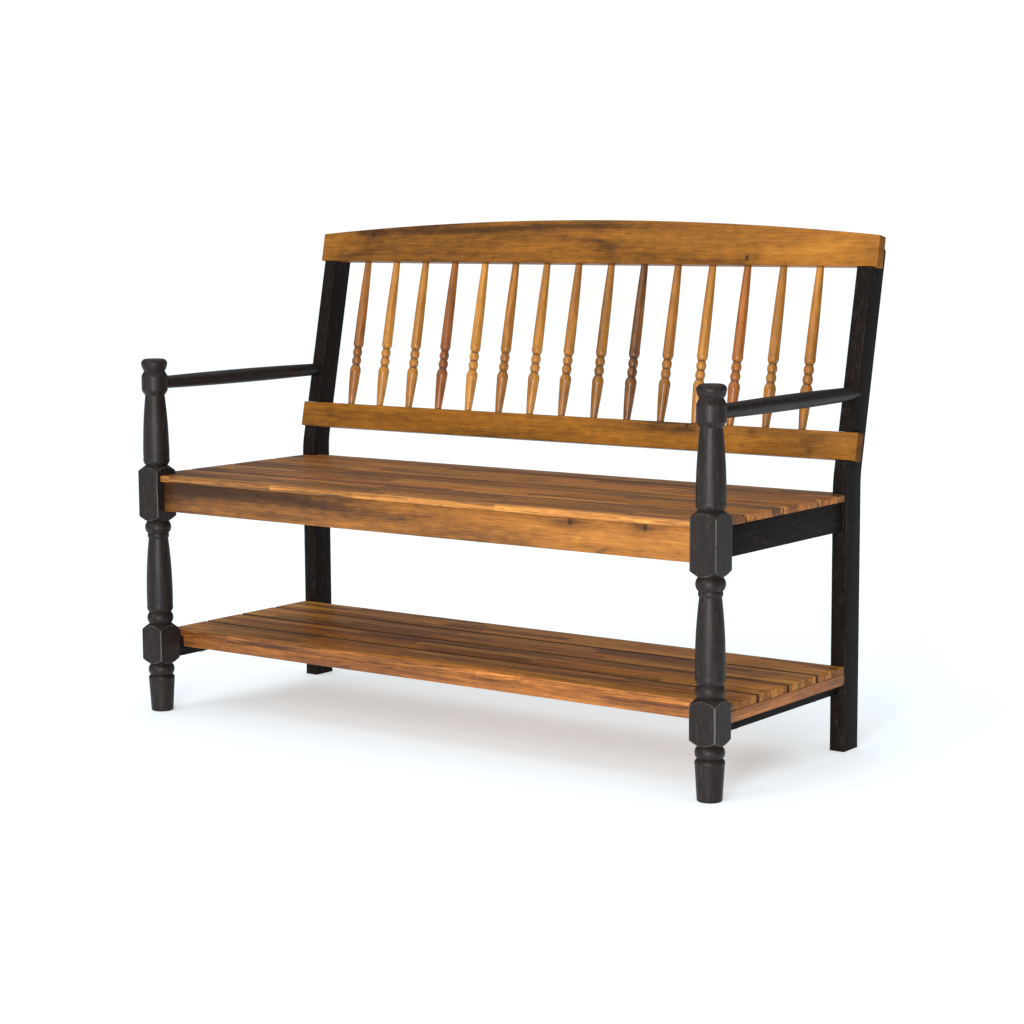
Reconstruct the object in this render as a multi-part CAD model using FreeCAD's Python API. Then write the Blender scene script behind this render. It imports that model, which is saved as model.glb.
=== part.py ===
"""Two-seat hall bench with turned front legs, rod arms, a spindle back and a shelf.

All sizes are millimetres. +X runs to the right for a person who looks at the bench from
the front, +Y runs to the back and +Z is up. Left and right in names are meant that way.
While the pieces are drawn, the origin is on the floor midway between the two front-leg
axes. At the end every piece moves together so that the origin is the middle of the
bench's footprint.
"""

import FreeCAD, Part
import math
import os

Vector = FreeCAD.Vector

# Whole bench
front_leg_spacing = 1200.0
rear_post_spacing = 1194.0
side_rail_length = 394.0
seat_height = 444.0
shelf_height = 149.0
arm_height = 612.5
back_lean_degrees = 12.0

# Turned work, round in the real bench and drawn in flat facets
leg_facets = 16
arm_facets = 16
spindle_facets = 10
bolt_facets = 8
outline_sag = 0.4

# Front legs, turned between square blocks
leg_block = 49.0
block_edge_ease = 1.5
upper_block_height = 83.0
upper_block_above_seat = 6.0
lower_block_height = 55.0
lower_block_above_shelf = 5.0
shoulder_height = 11.0
shoulder_radius = 20.0
shoulder_overrun = 1.0
swell_radius = 23.9
foot_bead_height = 20.0
ring_height = 21.0
bead_bulge = 4.2
foot_bottom_radius = 20.4
foot_edge_ease = 2.5
foot_cap_height = 9.0
foot_cap_bulge = 2.0
double_bead_height = 21.0
small_bead_height = 9.5
small_bead_radius = 18.7
small_bead_bulge = 1.2
vase_neck_radius = 17.9
vase_round_height = 13.0
vase_round_bulge = 1.6
vase_swell_height = 52.0
vase_swell_bulge = 0.3
vase_curve = 1.1
upper_vase_share = 0.7
barrel_height = 27.0
barrel_chamfer_height = 9.0
barrel_neck_radius = 18.8
cap_flare_height = 10.0
cap_flare_bulge = 0.8
cap_height = 22.0
cap_radius = 23.3
cap_top_radius = 17.0
cap_top_bulge = 3.2

# Rear posts, sawn from the plank with a bend above the seat
post_width = 28.0
post_foot_depth = 49.0
post_raked_depth = 46.0
post_bend_height = 464.0
post_bend_radius = 160.0
post_above_spindles = 39.0
post_top_round = 9.0
board_ease = 1.5

# Arms
arm_end_radius = 11.5
arm_middle_swell = 1.9
arm_socket_depth = 12.0
arm_straight_end = 14.0
arm_fit = 0.15

# Seat frame and slats
seat_slat_thickness = 12.0
seat_slat_count = 4
seat_slat_width = 110.0
slat_gap = 6.0
seat_nose_overhang = 11.0
seat_nose_round = 5.5
seat_slat_end_inset = 3.0
slat_ease = 1.2
notch_clearance = 1.0
apron_setback = 18.0
apron_thickness = 22.0
front_apron_height = 55.5
rear_apron_thickness = 20.0
rear_apron_height = 45.0
rear_apron_setback = 1.0
side_rail_thickness = 20.0
seat_side_rail_height = 51.5
seat_side_rail_inset = 9.0
cleat_width = 20.0
cleat_height = 20.0
seat_bearer_width = 40.0
bearer_spacing = 400.0

# Joinery between the frame pieces
tenon_thickness = 8.0
tenon_shoulder = 8.0
tenon_length = 14.0
post_tenon_length = 9.0
joint_clearance = 0.2

# Back
back_rail_thickness = 22.0
back_rail_overhang = 10.0
lower_rail_above_bend = 38.0
lower_rail_height = 48.0
top_rail_end_height = 54.0
top_rail_rise = 27.0
spindle_count = 15
spindle_spacing = 72.4
spindle_length = 284.0
spindle_end_radius = 6.3
spindle_tenon_radius = 5.0
spindle_tenon_length = 16.0
spindle_tenon_room = 1.0
spindle_fit = 0.15
spindle_vase_height = 76.0
spindle_vase_radius = 10.3
spindle_vase_peak = 60.0
spindle_vase_bulge = 0.4
spindle_vase_return = 1.6
spindle_bead_height = 17.6
spindle_bead_radius = 8.9
spindle_groove_radius = 7.0
spindle_shaft_radius = 9.7
spindle_shaft_round = 14.0
spindle_shaft_shoulder = 1.2
spindle_shaft_bulge = 0.8

# Shelf
shelf_slat_thickness = 13.0
shelf_slat_count = 4
shelf_front_setback = 13.0
shelf_rear_clearance = 1.0
shelf_rail_height = 19.0
shelf_rail_width = 20.0
shelf_end_inset = 1.0
shelf_side_rail_height = 36.0
shelf_side_rail_inset = 13.0
shelf_bearer_width = 40.0
shelf_corner_round = 5.0

# Hardware
bolt_radius = 3.0
bolt_head_radius = 6.0
bolt_head_height = 3.0
bolt_rim_height = 1.5
bolt_crown_radius = 4.0
bolt_clearance = 0.2
back_bolt_bite = 14.0
seat_bolt_bite = 26.0
seat_bolt_inset = 60.0
shelf_bolt_bite = 10.0
shelf_bolt_inset = 70.0
brace_leg = 46.0
brace_height = 24.0
brace_drop = 2.0

# Places worked out from the sizes above
half_block = leg_block / 2
leg_x = front_leg_spacing / 2
post_x = rear_post_spacing / 2
post_front = half_block + side_rail_length
post_outer = post_x + post_width / 2
post_inner = post_x - post_width / 2
seat_underside = seat_height - seat_slat_thickness
shelf_underside = shelf_height - shelf_slat_thickness
lean = math.radians(back_lean_degrees)
lower_rail_bottom = post_bend_height + lower_rail_above_bend
lower_rail_front = post_front + lower_rail_above_bend * math.tan(lean)
seat_rail_outer = post_outer - seat_side_rail_inset
seat_rail_inner = seat_rail_outer - side_rail_thickness
shelf_rail_outer = post_outer - shelf_side_rail_inset
shelf_rail_inner = shelf_rail_outer - side_rail_thickness
apron_front = apron_setback - half_block
rear_apron_front = post_front + rear_apron_setback
upper_block_top = seat_height + upper_block_above_seat
upper_block_bottom = upper_block_top - upper_block_height
lower_block_top = shelf_height + lower_block_above_shelf
lower_block_bottom = lower_block_top - lower_block_height


# Shape helpers
def block(low, high):
    """A plain box between two opposite corners."""
    size = Vector(*high) - Vector(*low)
    return Part.makeBox(size.x, size.y, size.z, Vector(*low))


def edges_along(shape, axis, chosen=None):
    """The straight edges that run along an axis, all of them or those that chosen keeps."""
    picked = []
    for edge in shape.Edges:
        if edge.Curve.TypeId != "Part::GeomLine":
            continue
        run = edge.tangentAt(edge.FirstParameter)
        if abs(abs(run.dot(axis)) - 1.0) > 1e-6:
            continue
        if chosen is None or chosen(edge.CenterOfMass):
            picked.append(edge)
    return picked


def board(low, high, axis, ease=board_ease):
    """A sawn board whose long edges, along the axis, are eased by a small flat."""
    plank = block(low, high)
    return plank.makeChamfer(ease, edges_along(plank, axis))


def mirrored(shape):
    """The same piece on the other side of the bench."""
    return shape.mirror(Vector(0, 0, 0), Vector(1, 0, 0))


def outline_points(stations):
    """The outline's (radius, height) points, with each bowed length as short chords."""
    points = [stations[0][:2]]
    for before, after in zip(stations, stations[1:]):
        run = after[0] - before[0]
        rise = after[1] - before[1]
        bulge = after[2]
        chord = math.hypot(run, rise)
        half_angle = 2 * math.atan(2 * bulge / chord)
        steps = max(1, math.ceil(math.sqrt(bulge / outline_sag)))
        for step in range(1, steps):
            angle = half_angle * (2 * step / steps - 1)
            along = 0.5 + math.sin(angle) / math.sin(half_angle) / 2
            out = (math.cos(angle) - math.cos(half_angle)) / math.sin(half_angle) / 2
            points.append((before[0] + run * along + rise * out, before[1] + rise * along - run * out))
        points.append(after[:2])
    return points


def ring(radius, height, facets):
    """The corners of a regular polygon about Z that has the area of the true circle."""
    turn = 2 * math.pi / facets
    reach = radius * math.sqrt(turn / math.sin(turn))
    angles = [(index + 0.5) * turn for index in range(facets)]
    return [Vector(reach * math.cos(angle), reach * math.sin(angle), height) for angle in angles]


def turned(stations, facets):
    """A turned solid about Z from (radius, height, bulge) stations, from the bottom up."""
    rings = [ring(radius, height, facets) for radius, height in outline_points(stations)]
    faces = [Part.Face(Part.makePolygon(end + end[:1])) for end in (rings[0], rings[-1])]
    for lower, upper in zip(rings, rings[1:]):
        for index in range(facets):
            after = (index + 1) % facets
            corners = [lower[index], lower[after], upper[after], upper[index], lower[index]]
            faces.append(Part.Face(Part.makePolygon(corners)))
    return Part.Solid(Part.Shell(faces))


def aimed(shape, start, direction):
    """A piece drawn along Z from the origin, set at start and aimed along direction."""
    placed = shape.copy()
    placed.Placement = FreeCAD.Placement(start, FreeCAD.Rotation(Vector(0, 0, 1), direction))
    return placed


def rounded_profile(corners, x):
    """A closed face in the plane at x from (y, z, radius) corners, each one rounded."""
    count = len(corners)
    points = [Vector(x, y, z) for y, z, radius in corners]
    edges = []
    last = None
    first = None
    for index in range(count):
        point = points[index]
        back = (points[index - 1] - point).normalize()
        ahead = (points[(index + 1) % count] - point).normalize()
        radius = corners[index][2]
        half_angle = back.getAngle(ahead) / 2
        reach = radius / math.tan(half_angle)
        start = point + back * reach
        end = point + ahead * reach
        inward = (back + ahead).normalize()
        middle = point + inward * (radius / math.sin(half_angle) - radius)
        if last is None:
            first = start
        else:
            edges.append(Part.makeLine(last, start))
        edges.append(Part.Arc(start, middle, end).toShape())
        last = end
    edges.append(Part.makeLine(last, first))
    return Part.Face(Part.Wire(edges))


def leaned(shape):
    """Tilt a piece of the back from upright to the lean of the posts."""
    tilted = shape.copy()
    foot = Vector(0, lower_rail_front, lower_rail_bottom)
    tilted.rotate(foot, Vector(1, 0, 0), -back_lean_degrees)
    return tilted


def group(solids):
    """Several separate solids that share one name."""
    return Part.Compound(solids)


# Tenons and mortises: the mortise is the tenon grown by the joint's clearance
def tenon_block(low, high, grow):
    """A tenon, or with grow above nothing the mortise that takes it."""
    spread = Vector(grow, grow, grow)
    return block(tuple(Vector(*low) - spread), tuple(Vector(*high) + spread))


def seat_side_tenon(at_front, grow=0.0):
    """The seat side rail's tenon, in the leg's block or in the rear post."""
    middle = (seat_rail_outer + seat_rail_inner) / 2
    low_z = seat_underside - seat_side_rail_height + tenon_shoulder
    high_z = seat_underside - tenon_shoulder
    if at_front:
        low_y = half_block - tenon_length
        high_y = half_block
    else:
        low_y = post_front
        high_y = post_front + post_tenon_length
    half = tenon_thickness / 2
    return tenon_block((middle - half, low_y, low_z), (middle + half, high_y, high_z), grow)


def shelf_side_tenon(at_front, grow=0.0):
    """The shelf side rail's tenon, in the leg's lower block or in the rear post."""
    middle = (shelf_rail_outer + shelf_rail_inner) / 2
    low_z = shelf_underside - shelf_side_rail_height + tenon_shoulder
    high_z = shelf_underside - tenon_shoulder
    if at_front:
        low_y = half_block - tenon_length
        high_y = half_block
    else:
        low_y = post_front
        high_y = post_front + post_tenon_length
    half = tenon_thickness / 2
    return tenon_block((middle - half, low_y, low_z), (middle + half, high_y, high_z), grow)


def front_apron_tenon(grow=0.0):
    """The front apron's right tenon, which enters the inner face of the leg's block."""
    inner = leg_x - half_block
    low_z = seat_underside - front_apron_height + tenon_shoulder
    high_z = seat_underside - tenon_shoulder
    low_y = apron_front + (apron_thickness - tenon_thickness) / 2
    low = (inner, low_y, low_z)
    high = (inner + tenon_length, low_y + tenon_thickness, high_z)
    return tenon_block(low, high, grow)


def rear_apron_tenon(grow=0.0):
    """The rear apron's right tenon, behind the side rail's own tenon in the post."""
    low_z = seat_underside - rear_apron_height + tenon_shoulder
    high_z = seat_underside - tenon_shoulder
    high_y = rear_apron_front + rear_apron_thickness
    low = (post_inner, high_y - tenon_thickness, low_z)
    high = (post_inner + tenon_length, high_y, high_z)
    return tenon_block(low, high, grow)


# Front legs
def shoulder(block_end, away):
    """Cone from a block's corners to the turned neck: away is +1 above it, -1 below."""
    corner_radius = half_block * math.sqrt(2)
    slope = shoulder_height / (corner_radius - shoulder_radius)
    wide_radius = corner_radius + shoulder_overrun
    wide = (wide_radius, block_end - away * slope * (wide_radius - corner_radius), 0)
    narrow = (shoulder_radius, block_end + away * shoulder_height, 0)
    return (wide, narrow) if away > 0 else (narrow, wide)


def front_leg_turning():
    """Outline of the leg's turned lengths, wide where the square blocks are left."""
    foot_neck = lower_block_bottom - shoulder_height - foot_bead_height
    foot_shoulder = foot_neck - foot_cap_height
    ring_bottom = lower_block_top + shoulder_height
    lower_vase = ring_bottom + ring_height
    double_bead_top = upper_block_bottom - shoulder_height
    double_bead_bottom = double_bead_top - double_bead_height
    small_bead_bottom = double_bead_bottom - small_bead_height
    upper_vase = upper_block_top + shoulder_height
    barrel_bottom = arm_height - barrel_height / 2
    barrel_top = arm_height + barrel_height / 2
    barrel_neck = barrel_bottom - barrel_chamfer_height
    cap_neck = barrel_top + barrel_chamfer_height
    cap_top = cap_neck + cap_height
    stations = [
        (foot_bottom_radius - foot_edge_ease, 0, 0),
        (foot_bottom_radius, foot_edge_ease, 0),
        (swell_radius, foot_shoulder, 0),
        (shoulder_radius, foot_neck, foot_cap_bulge),
        (shoulder_radius, foot_neck + foot_bead_height, bead_bulge),
    ]
    stations.extend(shoulder(lower_block_bottom, -1)[1:])
    stations.extend(shoulder(lower_block_top, 1))
    stations.append((shoulder_radius, lower_vase, bead_bulge))
    stations.append((swell_radius, lower_vase + vase_round_height, vase_round_bulge))
    stations.append((swell_radius, lower_vase + vase_swell_height, vase_swell_bulge))
    stations.append((vase_neck_radius, small_bead_bottom, vase_curve))
    stations.append((small_bead_radius, small_bead_bottom, 0))
    stations.append((small_bead_radius, double_bead_bottom, small_bead_bulge))
    stations.append((shoulder_radius, double_bead_bottom, 0))
    stations.append((shoulder_radius, double_bead_top, bead_bulge))
    stations.extend(shoulder(upper_block_bottom, -1)[1:])
    stations.extend(shoulder(upper_block_top, 1))
    stations.append((swell_radius, upper_vase + vase_round_height, vase_round_bulge))
    upper_swell_top = upper_vase + vase_swell_height * upper_vase_share
    stations.append((swell_radius, upper_swell_top, vase_swell_bulge))
    stations.append((vase_neck_radius, barrel_neck, vase_curve))
    stations.append((swell_radius, barrel_bottom, 0))
    stations.append((swell_radius, barrel_top, 0))
    stations.append((barrel_neck_radius, cap_neck, 0))
    stations.append((cap_radius, cap_neck + cap_flare_height, cap_flare_bulge))
    stations.append((cap_top_radius, cap_top, cap_top_bulge))
    return turned(stations, leg_facets)


def front_leg():
    """The right front leg: a square stick turned between its blocks, with its mortises."""
    stick_height = arm_height + barrel_height / 2 + barrel_chamfer_height + cap_height
    stick = block((-half_block, -half_block, 0), (half_block, half_block, stick_height))
    stick = stick.makeChamfer(block_edge_ease, edges_along(stick, Vector(0, 0, 1)))
    leg = front_leg_turning().common(stick)
    leg.translate(Vector(leg_x, 0, 0))
    leg = leg.cut(front_apron_tenon(joint_clearance))
    leg = leg.cut(seat_side_tenon(True, joint_clearance))
    leg = leg.cut(shelf_side_tenon(True, joint_clearance))
    return leg.cut(arm_bar(arm_fit, joint_clearance))


# Rear posts
def post_profile(x):
    """Side view of a rear post: upright below the seat, leaning above it."""
    along = Vector(0, math.sin(lean), math.cos(lean))
    across = Vector(0, math.cos(lean), -math.sin(lean))
    rise = lower_rail_height + spindle_length + post_above_spindles
    top_front = Vector(0, lower_rail_front, lower_rail_bottom) + along * rise
    top_rear = top_front + across * post_raked_depth
    post_rear = post_front + post_foot_depth
    taper = post_foot_depth - post_raked_depth / math.cos(lean)
    rear_bend = post_bend_height + taper / math.tan(lean)
    corners = [
        (post_front, 0, board_ease),
        (post_rear, 0, board_ease),
        (post_rear, rear_bend, post_bend_radius),
        (top_rear.y, top_rear.z, post_top_round),
        (top_front.y, top_front.z, board_ease),
        (post_front, post_bend_height, post_bend_radius),
    ]
    return rounded_profile(corners, x)


def back_rail_notches():
    """The two notches in a post's front that take the lower and the top rail."""
    top_rail_bottom = lower_rail_bottom + lower_rail_height + spindle_length
    notches = []
    for bottom, height in ((lower_rail_bottom, lower_rail_height), (top_rail_bottom, top_rail_end_height)):
        low = (0, lower_rail_front - 1, bottom)
        high = (post_outer + 1, lower_rail_front + back_rail_thickness, bottom + height)
        notches.append(leaned(block(low, high)))
    return notches


def rear_post():
    """The right rear post with its notches, mortises, arm socket and bolt holes."""
    post = post_profile(post_inner).extrude(Vector(post_width, 0, 0))
    for notch in back_rail_notches():
        post = post.cut(notch)
    post = post.cut(seat_side_tenon(False, joint_clearance))
    post = post.cut(shelf_side_tenon(False, joint_clearance))
    post = post.cut(rear_apron_tenon(joint_clearance))
    post = post.cut(arm_bar(arm_fit, joint_clearance))
    for bolt in back_bolts_right(bolt_clearance):
        post = post.cut(bolt)
    return post


# Arms
def arm_bar(grow=0.0, extra_length=0.0):
    """The right arm: a rod that swells towards its middle and ends in two sockets."""
    front = swell_radius - arm_socket_depth
    face = post_front + (arm_height - post_bend_height) * math.tan(lean)
    rear = face + arm_socket_depth
    radius = arm_end_radius + grow
    stations = [
        (radius, front - extra_length, 0),
        (radius, front + arm_straight_end, 0),
        (radius, rear - arm_straight_end, arm_middle_swell),
        (radius, rear + extra_length, 0),
    ]
    return aimed(turned(stations, arm_facets), Vector(leg_x, 0, arm_height), Vector(0, 1, 0))


# Seat frame
def seat_side_rail():
    """The right side rail under the seat, tenoned into the leg and the post."""
    low = (seat_rail_inner, half_block, seat_underside - seat_side_rail_height)
    high = (seat_rail_outer, post_front, seat_underside)
    rail = board(low, high, Vector(0, 1, 0))
    return rail.fuse([seat_side_tenon(True), seat_side_tenon(False)])


def front_apron():
    """The front apron between the two legs."""
    inner = leg_x - half_block
    low = (-inner, apron_front, seat_underside - front_apron_height)
    high = (inner, apron_front + apron_thickness, seat_underside)
    apron = board(low, high, Vector(1, 0, 0))
    return apron.fuse([front_apron_tenon(), mirrored(front_apron_tenon())])


def rear_apron():
    """The rear apron between the two posts."""
    low = (-post_inner, rear_apron_front, seat_underside - rear_apron_height)
    high = (post_inner, rear_apron_front + rear_apron_thickness, seat_underside)
    apron = board(low, high, Vector(1, 0, 0))
    return apron.fuse([rear_apron_tenon(), mirrored(rear_apron_tenon())])


def seat_end_cleat():
    """The right cleat, bolted inside the side rail, that the slats are screwed to."""
    low = (seat_rail_inner - cleat_width, half_block + notch_clearance, seat_underside - cleat_height)
    high = (seat_rail_inner, post_front - notch_clearance, seat_underside)
    cleat = board(low, high, Vector(0, 1, 0))
    for bolt in seat_bolts_right(bolt_clearance):
        cleat = cleat.cut(bolt)
    return cleat


def seat_bearer():
    """The right of two bearers that hold the slats up between the aprons."""
    middle = bearer_spacing / 2
    rear = rear_apron_front
    low = (middle - seat_bearer_width / 2, apron_front + apron_thickness, seat_underside - cleat_height)
    high = (middle + seat_bearer_width / 2, rear, seat_underside)
    return board(low, high, Vector(0, 1, 0))


def seat_slat_front(index):
    """Where the front edge of a seat slat lies, counted from the front."""
    return apron_front - seat_nose_overhang + index * (seat_slat_width + slat_gap)


def seat_slat(index):
    """One seat slat. The first has the nose and clears the legs, the last the posts."""
    half_length = post_outer - seat_slat_end_inset
    front = seat_slat_front(index)
    rear = front + seat_slat_width
    slat = block((-half_length, front, seat_underside), (half_length, rear, seat_height))
    top = seat_height - 0.01
    if index == 0:
        nose = edges_along(slat, Vector(1, 0, 0), lambda point: point.y < front + 1)
        slat = slat.makeFillet(seat_nose_round, nose)
        rear_top = edges_along(slat, Vector(1, 0, 0), lambda point: point.z > top and point.y > rear - 1)
        slat = slat.makeChamfer(slat_ease, rear_top)
        clear_inner = leg_x - half_block - notch_clearance
        notch_rear = half_block + notch_clearance
        low = (clear_inner, front - 1, seat_underside - 1)
        high = (half_length + 1, notch_rear, seat_height + 1)
    else:
        both_top = edges_along(slat, Vector(1, 0, 0), lambda point: point.z > top)
        slat = slat.makeChamfer(slat_ease, both_top)
        clear_inner = post_inner - notch_clearance
        low = (clear_inner, post_front - notch_clearance, seat_underside - 1)
        high = (half_length + 1, rear + 1, seat_height + 1)
    reaches_notch = index == 0 or rear > post_front - notch_clearance
    if reaches_notch:
        corner = block(low, high)
        slat = slat.cut([corner, mirrored(corner)])
    return slat


def corner_brace(x_wall, y_wall, y_away):
    """A three-cornered brace between a side rail's inner face and an apron."""
    top = seat_underside - cleat_height - brace_drop
    corner = Vector(x_wall, y_wall, top)
    along_rail = Vector(x_wall, y_wall + y_away * brace_leg, top)
    along_apron = Vector(x_wall - brace_leg, y_wall, top)
    face = Part.Face(Part.makePolygon([corner, along_rail, along_apron, corner]))
    return face.extrude(Vector(0, 0, -brace_height))


def corner_braces():
    """Four braces in the corners of the seat frame. The front ones clear the legs."""
    front = corner_brace(seat_rail_inner, apron_front + apron_thickness, 1)
    leg_low = (leg_x - half_block - notch_clearance, -half_block, 0)
    leg_high = (leg_x + half_block, half_block + notch_clearance, seat_height)
    front = front.cut(block(leg_low, leg_high))
    rear = corner_brace(seat_rail_inner, rear_apron_front, -1)
    return group([front, mirrored(front), rear, mirrored(rear)])


# Back
def back_rail_span():
    """Half the length of the two rails of the back."""
    return post_outer + back_rail_overhang


def spindle_places():
    """Where the spindles stand along the rails, evenly spaced about the middle."""
    first = -(spindle_count - 1) / 2 * spindle_spacing
    return [first + index * spindle_spacing for index in range(spindle_count)]


def spindle_bores(z, direction):
    """The holes in a rail that take the spindles' tenons."""
    radius = spindle_tenon_radius + spindle_fit
    y = lower_rail_front + back_rail_thickness / 2
    depth = direction * (spindle_tenon_length + spindle_tenon_room)
    ends = ((radius, min(z, z + depth), 0), (radius, max(z, z + depth), 0))
    bores = []
    for x in spindle_places():
        bore = turned(ends, spindle_facets)
        bore.translate(Vector(x, y, 0))
        bores.append(bore)
    return bores


def lower_back_rail():
    """The straight lower rail of the back, let into the posts."""
    span = back_rail_span()
    low = (-span, lower_rail_front, lower_rail_bottom)
    top = lower_rail_bottom + lower_rail_height
    high = (span, lower_rail_front + back_rail_thickness, top)
    rail = board(low, high, Vector(1, 0, 0))
    rail = leaned(rail.cut(spindle_bores(top, -1)))
    for bolt in back_bolts_right(bolt_clearance):
        rail = rail.cut([bolt, mirrored(bolt)])
    return rail


def top_rail():
    """The top rail: straight below, one long arc above, let into the posts."""
    span = back_rail_span()
    bottom = lower_rail_bottom + lower_rail_height + spindle_length
    end_top = bottom + top_rail_end_height
    y = lower_rail_front
    left = Vector(-span, y, end_top)
    right = Vector(span, y, end_top)
    crown = Vector(0, y, end_top + top_rail_rise)
    edges = [
        Part.makeLine(Vector(-span, y, bottom), Vector(span, y, bottom)),
        Part.makeLine(Vector(span, y, bottom), right),
        Part.Arc(right, crown, left).toShape(),
        Part.makeLine(left, Vector(-span, y, bottom)),
    ]
    rail = Part.Face(Part.Wire(edges)).extrude(Vector(0, back_rail_thickness, 0))
    long_edges = [edge for edge in rail.Edges if edge.Length > span]
    rail = rail.makeFillet(board_ease, long_edges)
    rail = leaned(rail.cut(spindle_bores(bottom, 1)))
    for bolt in back_bolts_right(bolt_clearance):
        rail = rail.cut([bolt, mirrored(bolt)])
    return rail


def spindle(x):
    """One turned spindle: a low vase, two beads and a long tapering shaft."""
    bead_start = spindle_vase_height
    shaft_start = bead_start + 2 * spindle_bead_height
    bead_bow = spindle_bead_radius - spindle_groove_radius
    stations = [
        (spindle_tenon_radius, -spindle_tenon_length, 0),
        (spindle_tenon_radius, 0, 0),
        (spindle_end_radius, 0, 0),
        (spindle_vase_radius, spindle_vase_peak, spindle_vase_bulge),
        (spindle_groove_radius, bead_start, spindle_vase_return),
        (spindle_groove_radius, bead_start + spindle_bead_height, bead_bow),
        (spindle_groove_radius, shaft_start, bead_bow),
        (spindle_shaft_radius, shaft_start + spindle_shaft_round, spindle_shaft_shoulder),
        (spindle_end_radius, spindle_length, spindle_shaft_bulge),
        (spindle_tenon_radius, spindle_length, 0),
        (spindle_tenon_radius, spindle_length + spindle_tenon_length, 0),
    ]
    stick = turned(stations, spindle_facets)
    y = lower_rail_front + back_rail_thickness / 2
    stick.translate(Vector(x, y, lower_rail_bottom + lower_rail_height))
    return leaned(stick)


# Shelf
def shelf_front():
    """The front edge of the shelf, just behind the legs."""
    return half_block + shelf_front_setback


def shelf_rear():
    """The rear edge of the shelf, just in front of the posts."""
    return post_front - shelf_rear_clearance


def shelf_side_rail():
    """The right painted rail that carries the shelf, tenoned into the leg and the post."""
    low = (shelf_rail_inner, half_block, shelf_underside - shelf_side_rail_height)
    high = (shelf_rail_outer, post_front, shelf_underside)
    rail = board(low, high, Vector(0, 1, 0))
    rail = rail.fuse([shelf_side_tenon(True), shelf_side_tenon(False)])
    for bolt in shelf_bolts_right(bolt_clearance):
        rail = rail.cut(bolt)
    return rail


def shelf_slat(index):
    """One of the shelf's slats, counted from the front."""
    depth = shelf_rear() - shelf_front()
    width = (depth - (shelf_slat_count - 1) * slat_gap) / shelf_slat_count
    half_length = post_outer - shelf_end_inset
    front = shelf_front() + index * (width + slat_gap)
    slat = block((-half_length, front, shelf_underside), (half_length, front + width, shelf_height))
    top = shelf_height - 0.01
    both_top = edges_along(slat, Vector(1, 0, 0), lambda point: point.z > top)
    return slat.makeChamfer(slat_ease, both_top)


def shelf_long_rail(front):
    """A rail along the shelf, under the slats, between the two side rails."""
    low = (-shelf_rail_inner, front, shelf_underside - shelf_rail_height)
    high = (shelf_rail_inner, front + shelf_rail_width, shelf_underside)
    rail = block(low, high)
    bottom = low[2] + 0.01
    lower_edges = edges_along(rail, Vector(1, 0, 0), lambda point: point.z < bottom)
    return rail.makeChamfer(board_ease, lower_edges)


def shelf_end_batten():
    """The right batten that closes the slats' ends outside the side rail."""
    outer = post_outer - shelf_end_inset
    low = (shelf_rail_outer, shelf_front(), shelf_underside - shelf_rail_height)
    high = (outer, shelf_rear(), shelf_underside)
    batten = block(low, high)
    bottom = low[2] + 0.01
    round_ends = edges_along(batten, Vector(1, 0, 0), lambda point: point.z < bottom)
    return batten.makeFillet(shelf_corner_round, round_ends)


def shelf_bearer():
    """The right of two bearers under the shelf's slats."""
    middle = bearer_spacing / 2
    half = shelf_bearer_width / 2
    low = (middle - half, shelf_front() + shelf_rail_width, shelf_underside - shelf_rail_height)
    high = (middle + half, shelf_rear() - shelf_rail_width, shelf_underside)
    return board(low, high, Vector(0, 1, 0))


# Bolts
def bolt(head_seat, into, length, grow):
    """A low round-headed bolt whose head sits on a face, or with grow its drilled hole."""
    stations = [(bolt_radius + grow, 0, 0), (bolt_radius + grow, length + grow, 0)]
    if grow == 0:
        head = [
            (bolt_crown_radius, -bolt_head_height, 0),
            (bolt_head_radius, -bolt_rim_height, 0),
            (bolt_head_radius, 0, 0),
        ]
        stations = head + stations
    return aimed(turned(stations, bolt_facets), head_seat, Vector(into))


def back_bolts_right(grow=0.0):
    """The bolts from behind through the right post, one into each rail of the back."""
    bolts = []
    top_rail_bottom = lower_rail_bottom + lower_rail_height + spindle_length
    heights = (lower_rail_bottom + lower_rail_height / 2, top_rail_bottom + top_rail_end_height / 2)
    for height in heights:
        seat = Vector(post_x, lower_rail_front + post_raked_depth, height)
        length = post_raked_depth - back_rail_thickness + back_bolt_bite
        bolts.append(leaned(bolt(seat, (0, -1, 0), length, grow)))
    return bolts


def seat_bolts_right(grow=0.0):
    """The bolts from the inside of the right cleat into the side rail."""
    height = seat_underside - cleat_height / 2
    inner = seat_rail_inner - cleat_width
    places = (half_block + seat_bolt_inset, post_front - seat_bolt_inset)
    return [bolt(Vector(inner, y, height), (1, 0, 0), seat_bolt_bite, grow) for y in places]


def shelf_bolts_right(grow=0.0):
    """The bolts from below through the right shelf rail into the slats."""
    x = (shelf_rail_inner + shelf_rail_outer) / 2
    bottom = shelf_underside - shelf_side_rail_height
    length = shelf_side_rail_height + shelf_bolt_bite
    places = (half_block + shelf_bolt_inset, post_front - shelf_bolt_inset)
    return [bolt(Vector(x, y, bottom), (0, 0, 1), length, grow) for y in places]


def both_sides(solids):
    """A group with each solid and its mirror image."""
    return group(solids + [mirrored(solid) for solid in solids])


# Assembly
def add_pair(pieces, name, shape):
    """Put the right-hand piece and its mirror image into the list of pieces."""
    pieces[name + "_right"] = shape
    pieces[name + "_left"] = mirrored(shape)


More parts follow.
